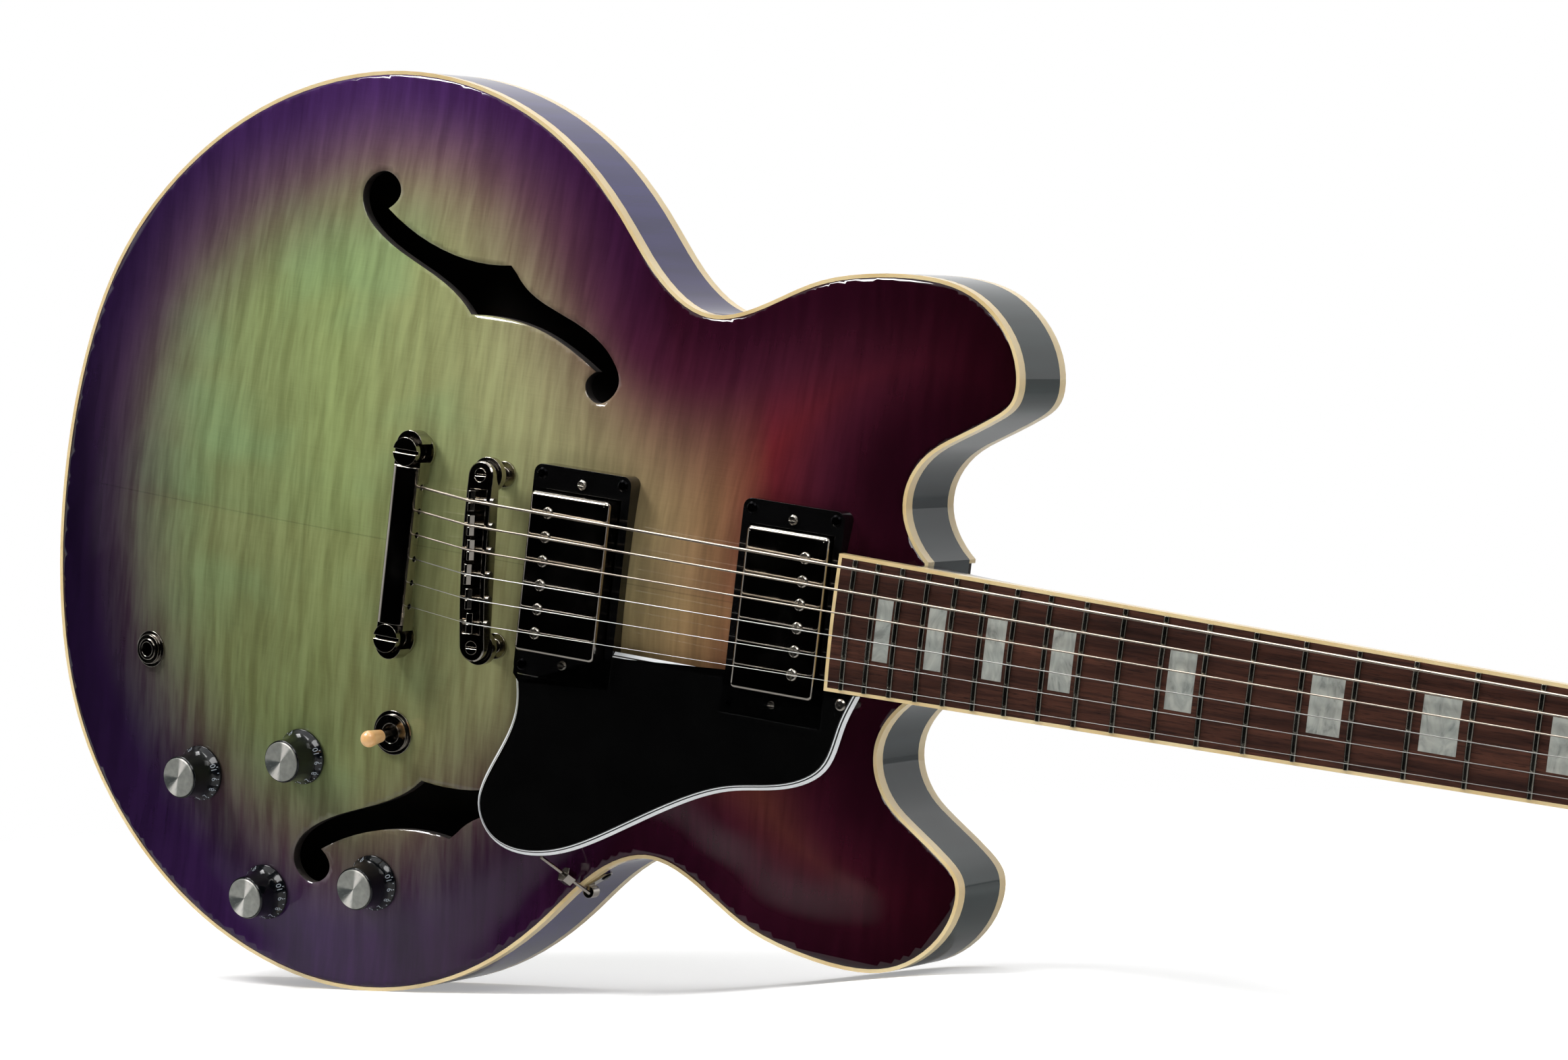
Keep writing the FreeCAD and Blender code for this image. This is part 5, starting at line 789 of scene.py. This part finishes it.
def insetLoop(points, depths):  # each edge moves in by its own depth, and neighbours meet again
    count = len(points)
    moved = []
    for k in range(count):
        before, here, after = points[k - 1], points[k], points[(k + 1) % count]
        first, second = (here - before).normalized(), (after - here).normalized()
        inFirst, inSecond = Vector((-first.y, first.x)), Vector((-second.y, second.x))
        deepFirst, deepSecond = depths[k - 1], depths[k]
        spread = first.x * second.y - first.y * second.x
        if abs(spread) < nearlyStraight:
            moved.append(here + (inFirst + inSecond).normalized() * max(deepFirst, deepSecond))
        else:
            base = here + inFirst * deepFirst
            other = here + inSecond * deepSecond
            gap = other - base
            moved.append(base + first * ((gap.x * second.y - gap.y * second.x) / spread))
    return moved


def makeGuard(plies):  # round the two pickup rings, with its free edge stepped down ply by ply
    half, end = guard["ringWidth"] / 2 + guard["gap"], -guard["ringLength"] / 2 - guard["gap"]
    solid = bmesh.new()
    solid.from_mesh(nodes["pickguard"].data)
    solid.transform(guardFrame.inverted() @ toGuitar)
    inner = max(v.co.y for v in solid.verts)
    solid.free()
    free = smoothLine([guardLocal(*planPoint(shares)) for shares in guardShares], guard["edgePoints"])
    front, back, bridge = guard["neckRing"] + half, guard["neckRing"] - half, guard["bridgeRing"] + half
    plan = [(front, inner), (front, end), (back, end), (back, inner), (bridge, inner), (bridge, end)]
    corners = [(free[-1][0], inner)] + [guardLocal(x, y) for x, y in plan] + [(free[0][0], end)]
    loop = [Vector(p) for p in free] + [Vector(p) for p in corners]
    bevelled = [True] * (len(free) - 1) + [False] * (len(loop) - len(free) + 1)
    bevelled[len(free) + 4] = True  # the short edge between the two rings
    area = sum(a.x * b.y - a.y * b.x for a, b in zip(loop, loop[1:] + loop[:1]))
    if area < 0:
        loop, bevelled = loop[::-1], bevelled[-2::-1] + bevelled[-1:]
    shape = bmesh.new()
    rings, bands = [], []
    for inset, depth, ply in guard["steps"]:
        ring = insetLoop(loop, [inset if flag else 0 for flag in bevelled])
        rings.append([shape.verts.new((p.x, p.y, -depth)) for p in ring])
        bands.append(ply)
    shape.faces.new(rings[0]).material_index = 0
    for upper, lower, ply in zip(rings, rings[1:], bands[1:]):
        for k in range(len(upper)):
            n = (k + 1) % len(upper)
            shape.faces.new((lower[k], lower[n], upper[n], upper[k])).material_index = ply
    shape.faces.new(rings[-1][::-1]).material_index = 0
    bmesh.ops.triangulate(shape, faces=[f for f in shape.faces if len(f.verts) > 4])
    shape.normal_update()
    mesh = bpy.data.meshes.new("layered_pickguard")
    shape.transform(toRow @ guardFrame)
    shape.to_mesh(mesh)
    shape.free()
    for ply in plies:
        mesh.materials.append(ply)
    finishMesh(mesh, guard["sharpFrom"])
    print("pickguard", len(mesh.polygons), "faces")
    addPiece("layered_pickguard", mesh, "guitar", ["pickguard"])


makeGuard([plasticFinish("guardBlack", "040404", "070707", 0.08, 0.0001),
           plasticFinish("guardWhite", "cfd2d4", "dfe1e2", 0.25, 0.0001)])

# Knobs

knob = {
    "profile": [(3.0, -9.4), (3.0, 3.4), (7.0, 3.4), (7.0, 0.6), (12.3, 0.6), (12.4, 0.75), (12.4, 1.55),
                (12.25, 1.85), (11.75, 2.6), (11.2, 3.4), (10.7, 4.3), (10.3, 5.3), (10.0, 6.4),
                (9.8, 7.6), (9.68, 9.0), (9.6, 10.6), (9.55, 12.4), (9.5, 14.4), (9.42, 15.0),
                (9.2, 15.3), (8.95, 15.35), (8.75, 15.2)],
    "cap": [(8.75, 15.2), (8.72, 15.75), (8.55, 15.98), (8.2, 16.0)],
    "sides": 72, "sharpFrom": 40, "skirt": (7, 13), "lift": 0.05,
    "numbers": 11, "tickCells": (2, 4), "outline": 3,
    "marks": {"Number Size": 3.7, "Number Start": 1.15, "Turn": math.radians(27),
              "First Turn": math.radians(24), "Reach": 11.4,
              "Tick Width": 0.34, "Tick Length": 0.7, "Tick Start": 0.6},
}


def turned(name, profile, sides):  # a profile of radius and height, turned round the knob's axis
    shape = bmesh.new()
    rings = []
    for r, z in profile:
        rings.append([shape.verts.new((r * math.cos(t), r * math.sin(t), z))
                      for t in (2 * math.pi * k / sides for k in range(sides))])
    for lower, upper in zip(rings, rings[1:]):
        for k in range(sides):
            n = (k + 1) % sides
            shape.faces.new((lower[k], lower[n], upper[n], upper[k]))
    for ring, level, order in ((rings[0], profile[0][1], -1), (rings[-1], profile[-1][1], 1)):
        hub = shape.verts.new((0, 0, level))
        for k in range(sides):
            n = (k + 1) % sides
            shape.faces.new((ring[k], ring[n], hub) if order > 0 else (ring[n], ring[k], hub))
    around = shape.loops.layers.uv.new("around")
    for face in shape.faces:
        for loop in face.loops:
            loop[around].uv = loop.vert.co.x / 1000, loop.vert.co.y / 1000
    shape.normal_update()
    mesh = bpy.data.meshes.new(name)
    shape.to_mesh(mesh)
    shape.free()
    return mesh


def capFinish():  # fine rings, with a painted highlight wedge and a painted dark reflection wedge, as turned metal shows
    finish = Finish("brushedCap", Metallic=0.5, IOR=1.5)
    around = finish.node("UVMap", {"uv_map": "around"})
    radius = finish.node("VectorMath", {"operation": "LENGTH"}, {0: around}, 1)
    rings = finish.noise(finish.joined(radius * 7000, 0, 0), 1.0, 2)
    haze = finish.noise(around, 300, 2)
    across, up, _ = finish.parts(around)
    turnAt = finish.node("Math", {"operation": "ARCTAN2"}, {0: up, 1: across})
    # painted highlight: a bright wedge at a fixed turn round the cap
    fan = finish.node("Math", {"operation": "COSINE"}, {0: (turnAt - math.radians(250)) * 2})
    wedge = finish.ease(fan, 0.72, 1.0)
    # painted dark reflection: a dark wedge at another fixed turn
    dark = finish.node("Math", {"operation": "COSINE"}, {0: turnAt - math.radians(205)})
    shade = finish.ease(dark, 0.86, 0.99)
    fine = finish.noise(finish.joined(turnAt * 6, radius * 300, 0), 1.0, 2)
    colour = finish.mix(wedge, finish.ramp(haze, [(0.3, "8b8d87"), (0.75, "a5a69f")]), paint("ece9e2"))
    colour = finish.mix(shade * 0.8, colour, paint("2c3437"))
    finish.feed("Base Color", finish.mix(finish.ease(fine, 0.5, 0.8) * 0.4, colour, paint("9aa09e")))
    finish.feed("Roughness", 0.34 + haze * 0.08)
    finish.feed("Normal", finish.bump(rings, 0.5, 0.00006))
    return finish.material


def skirtTerms():  # the skirt's radius and height as cubic rules of the way up it
    points = np.array(knob["profile"][slice(*knob["skirt"])])
    along = np.concatenate([[0], np.cumsum(np.linalg.norm(np.diff(points, axis=0), axis=1))])
    ways = np.gradient(points, along, axis=0)
    lifted = points + np.stack([ways[:, 1], -ways[:, 0]], 1) * knob["lift"]
    return [[float(term) for term in np.polyfit(along, lifted[:, k], 3)] for k in (0, 1)]


def knobMarks(material):  # numbers and ticks in a flat row, wrapped round the skirt's slope
    rule = Rule("knobMarks", knob["marks"])
    given = rule.given
    step = given["Turn"] * given["Reach"]
    marks = []
    for number in range(knob["numbers"]):
        words = {"String": str(number), "Size": given["Number Size"]}
        text = rule.node("GeometryNodeStringToCurves", {"align_x": "CENTER"}, words)
        spot = rule.joined(number * step, given["Number Start"], 0)
        marks.append(rule.node("GeometryNodeTransform", {}, {"Geometry": text, "Translation": spot}))
    text = rule.node("GeometryNodeRealizeInstances", {}, {"Geometry": rule.together(marks)})
    text = rule.node("GeometryNodeSetSplineResolution", {}, {"Geometry": text, "Resolution": knob["outline"]})
    text = rule.node("GeometryNodeFillCurve", {}, {"Curve": text})
    tick = rule.node("GeometryNodeMeshGrid", {}, {
        "Size X": given["Tick Width"], "Size Y": given["Tick Length"],
        "Vertices X": knob["tickCells"][0], "Vertices Y": knob["tickCells"][1]})
    spots = rule.node("GeometryNodeMeshLine", {}, {
        "Count": 2 * knob["numbers"] - 1, "Start Location": rule.joined(0, given["Tick Start"], 0),
        "Offset": rule.joined(step * 0.5, 0, 0)})
    ticks = rule.node("GeometryNodeInstanceOnPoints", {}, {"Points": spots, "Instance": tick})
    ticks = rule.node("GeometryNodeRealizeInstances", {}, {"Geometry": ticks})
    x, along, _ = rule.parts(rule.node("GeometryNodeInputPosition"))
    reach = []
    for terms in skirtTerms():
        value = terms[0]
        for term in terms[1:]:
            value = value * along + term
        reach.append(value)
    angle = x / given["Reach"] + given["First Turn"]
    sine = rule.node("Math", {"operation": "SINE"}, {0: angle})
    cosine = rule.node("Math", {"operation": "COSINE"}, {0: angle})
    wrapped = rule.node("GeometryNodeSetPosition", {}, {
        "Geometry": rule.together([text, ticks]),
        "Position": rule.joined(0 - reach[0] * sine, reach[0] * cosine, reach[1])})
    return rule.finished(wrapped, material)


knobBlack = plasticFinish("knobBlack", "05070a", "0b0e12", 0.1, 0.0002)
capSilver = capFinish()
flatMarks = knobMarks(plasticFinish("numberWhite", "8f979f", "a8afb6", 0.4, 0.00005))
print("knob marks", len(flatMarks.polygons), "faces")
for name, shares in controls["knobs"].items():
    place = topFrame(*planPoint(shares))
    for part, profile, material, slot in (("shell", knob["profile"], knobBlack, "knob_black"),
                                          ("cap", knob["cap"], capSilver, "nickel")):
        mesh = turned(f"{name}_{part}", profile, knob["sides"])
        mesh.transform(toRow @ place)
        mesh.materials.append(material)
        finishMesh(mesh, knob["sharpFrom"])
        addPiece(f"{name}_{part}", mesh, name, [name] if part == "shell" else [])
    mesh = flatMarks.copy()
    mesh.transform(toRow @ place)
    addPiece(f"{name}_numbers", mesh, name)
print("knobs made")

# Floor, lights and camera

stage = {
    "floorSize": 14.0, "floorCells": 220, "crowding": 5.2,
    "riseHeight": 0.0155, "riseAt": (0.293, 0.0), "riseSpread": (0.10, 0.12),
    "worldSoft": 0.30,
    # bright parts of the mirrored surroundings: axis, then where they begin and end and how bright
    "cards": [(1, (-0.10, 0.25, 0.0, 0.85)), (2, (0.50, 0.80, 0.0, 0.9)), (0, (-0.78, -0.97, 0.0, 0.6))],
    "whiteAt": (0.3, 0.0, 0.0), "whiteFrom": (0.75, 1.25), "mirrorFrom": (-0.20, -0.08),
    "mirrorShare": 0.4, "floorBase": 0.8, "floorGlow": 0.34,
    # each light: place, the place it faces, its two sizes and its power
    "lamps": {"key": ((-1.2, -1.3, 2.6), (0.1, 0, 0.2), (1.0, 1.0), 90),
              "fill": ((1.9, -1.2, 2.2), (0.1, 0, 0.2), (1.2, 1.2), 24),
              "top": ((0.2, 0.3, 2.6), (0.1, 0, 0.2), (1.6, 1.0), 30)},
    # the camera: where it stands, its turn about x, y and z in degrees, and its lens in pixels
    "cameraAt": (1.248574, -1.766368, 0.230133), "cameraTurn": (89.1473, 1.6651, 30.5996),
    "focalPixels": 7190.5, "photoWidth": 2324, "sensorWidth": 36,
}


def makeFloor():  # a wide floor with a low rise, seen as white from far off and dim in mirrors
    shape = bmesh.new()
    crowding = stage["crowding"]
    steps = np.linspace(-crowding, crowding, stage["floorCells"] + 1)
    lines = np.sinh(steps) / math.sinh(crowding) * stage["floorSize"]
    middle, spread = stage["riseAt"], stage["riseSpread"]
    rows = []
    for y in lines:
        row = []
        for x in lines + middle[0]:
            dx, dy = (x - middle[0]) / spread[0], (y - middle[1]) / spread[1]
            row.append(shape.verts.new((x, y, stage["riseHeight"] * math.exp(-dx * dx - dy * dy))))
        rows.append(row)
    for low, high in zip(rows, rows[1:]):
        for k in range(len(low) - 1):
            shape.faces.new((low[k], low[k + 1], high[k + 1], high[k]))
    mesh = bpy.data.meshes.new("floor")
    shape.to_mesh(mesh)
    shape.free()
    mesh.shade_smooth()
    floor = bpy.data.objects.new("floor", mesh)
    bpy.context.scene.collection.objects.link(floor)
    finish = Finish("paleFloor", Roughness=0.9, Emission_Strength=1.0, Specular_IOR_Level=0.0)
    rays = finish.node("LightPath")
    glossy = Link(finish, rays.socket.node.outputs["Is Glossy Ray"])
    clear = Link(finish, rays.socket.node.outputs["Is Transmission Ray"])
    place = finish.objectPlace()
    _, y, _ = finish.parts(place)
    away = finish.node("VectorMath", {"operation": "DISTANCE"}, {0: place, 1: stage["whiteAt"]}, 1)
    far = finish.ease(away, *stage["whiteFrom"])
    near = finish.ease(y, *stage["mirrorFrom"])
    base = (1 - far) * (1 - glossy * (1 - near * stage["mirrorShare"])) * stage["floorBase"]
    glow = stage["floorGlow"] + far * (1 - stage["floorGlow"])
    mirrored = glossy * near * stage["mirrorShare"]
    seen = (rays + clear + mirrored) * glow
    finish.feed("Base Color", finish.joined(base, base, base))
    finish.feed("Emission Color", finish.joined(seen, seen, seen))
    mesh.materials.append(finish.material)


def makeWorld():  # white for the camera, with bright and dark parts in the reflections
    world = bpy.data.worlds.new("studio")
    bpy.context.scene.world = world
    world.use_nodes = True
    tree = world.node_tree
    tree.nodes.clear()
    rays, way = tree.nodes.new("ShaderNodeLightPath"), tree.nodes.new("ShaderNodeTexCoord")
    split = tree.nodes.new("ShaderNodeSeparateXYZ")
    tree.links.new(way.outputs["Generated"], split.inputs[0])
    brightest = None
    for axis, (low, high, dark, bright) in stage["cards"]:
        card = tree.nodes.new("ShaderNodeMapRange")
        card.interpolation_type = "SMOOTHSTEP"
        for socket, value in zip((1, 2, 3, 4), (low, high, dark, bright)):
            card.inputs[socket].default_value = value
        tree.links.new(split.outputs[axis], card.inputs[0])
        if brightest is None:
            brightest = card.outputs[0]
        else:
            larger = tree.nodes.new("ShaderNodeMath")
            larger.operation = "MAXIMUM"
            tree.links.new(brightest, larger.inputs[0])
            tree.links.new(card.outputs[0], larger.inputs[1])
            brightest = larger.outputs[0]
    mixes = []
    for ray, source in (("Is Glossy Ray", brightest), ("Is Camera Ray", 1.0), ("Is Transmission Ray", 1.0)):
        mix = tree.nodes.new("ShaderNodeMix")
        tree.links.new(rays.outputs[ray], mix.inputs[0])
        if mixes:
            tree.links.new(mixes[-1].outputs[0], mix.inputs[2])
        else:
            mix.inputs[2].default_value = stage["worldSoft"]
        if isinstance(source, float):
            mix.inputs[3].default_value = source
        else:
            tree.links.new(source, mix.inputs[3])
        mixes.append(mix)
    background, output = tree.nodes.new("ShaderNodeBackground"), tree.nodes.new("ShaderNodeOutputWorld")
    background.inputs[0].default_value = (1, 1, 1, 1)
    tree.links.new(mixes[-1].outputs[0], background.inputs[1])
    tree.links.new(background.outputs[0], output.inputs[0])


def addLamp(name, place, target, size, power):
    light = bpy.data.lights.new(name, "AREA")
    light.shape, light.size, light.size_y = "RECTANGLE", size[0], size[1]
    light.energy = power
    lamp = bpy.data.objects.new(name, light)
    lamp.location = place
    lamp.rotation_euler = (Vector(target) - Vector(place)).to_track_quat("-Z", "Y").to_euler()
    bpy.context.scene.collection.objects.link(lamp)


makeFloor()
makeWorld()
for name, values in stage["lamps"].items():
    addLamp(name, *values)

camera = bpy.data.cameras.new("camera")
camera.lens = stage["sensorWidth"] * stage["focalPixels"] / stage["photoWidth"]
camera.sensor_width = stage["sensorWidth"]
viewer = bpy.data.objects.new("camera", camera)
viewer.location = stage["cameraAt"]
viewer.rotation_euler = [math.radians(angle) for angle in stage["cameraTurn"]]
bpy.context.scene.collection.objects.link(viewer)
bpy.context.scene.camera = viewer
bpy.context.scene.view_settings.view_transform = "Standard"

print("scene ready")
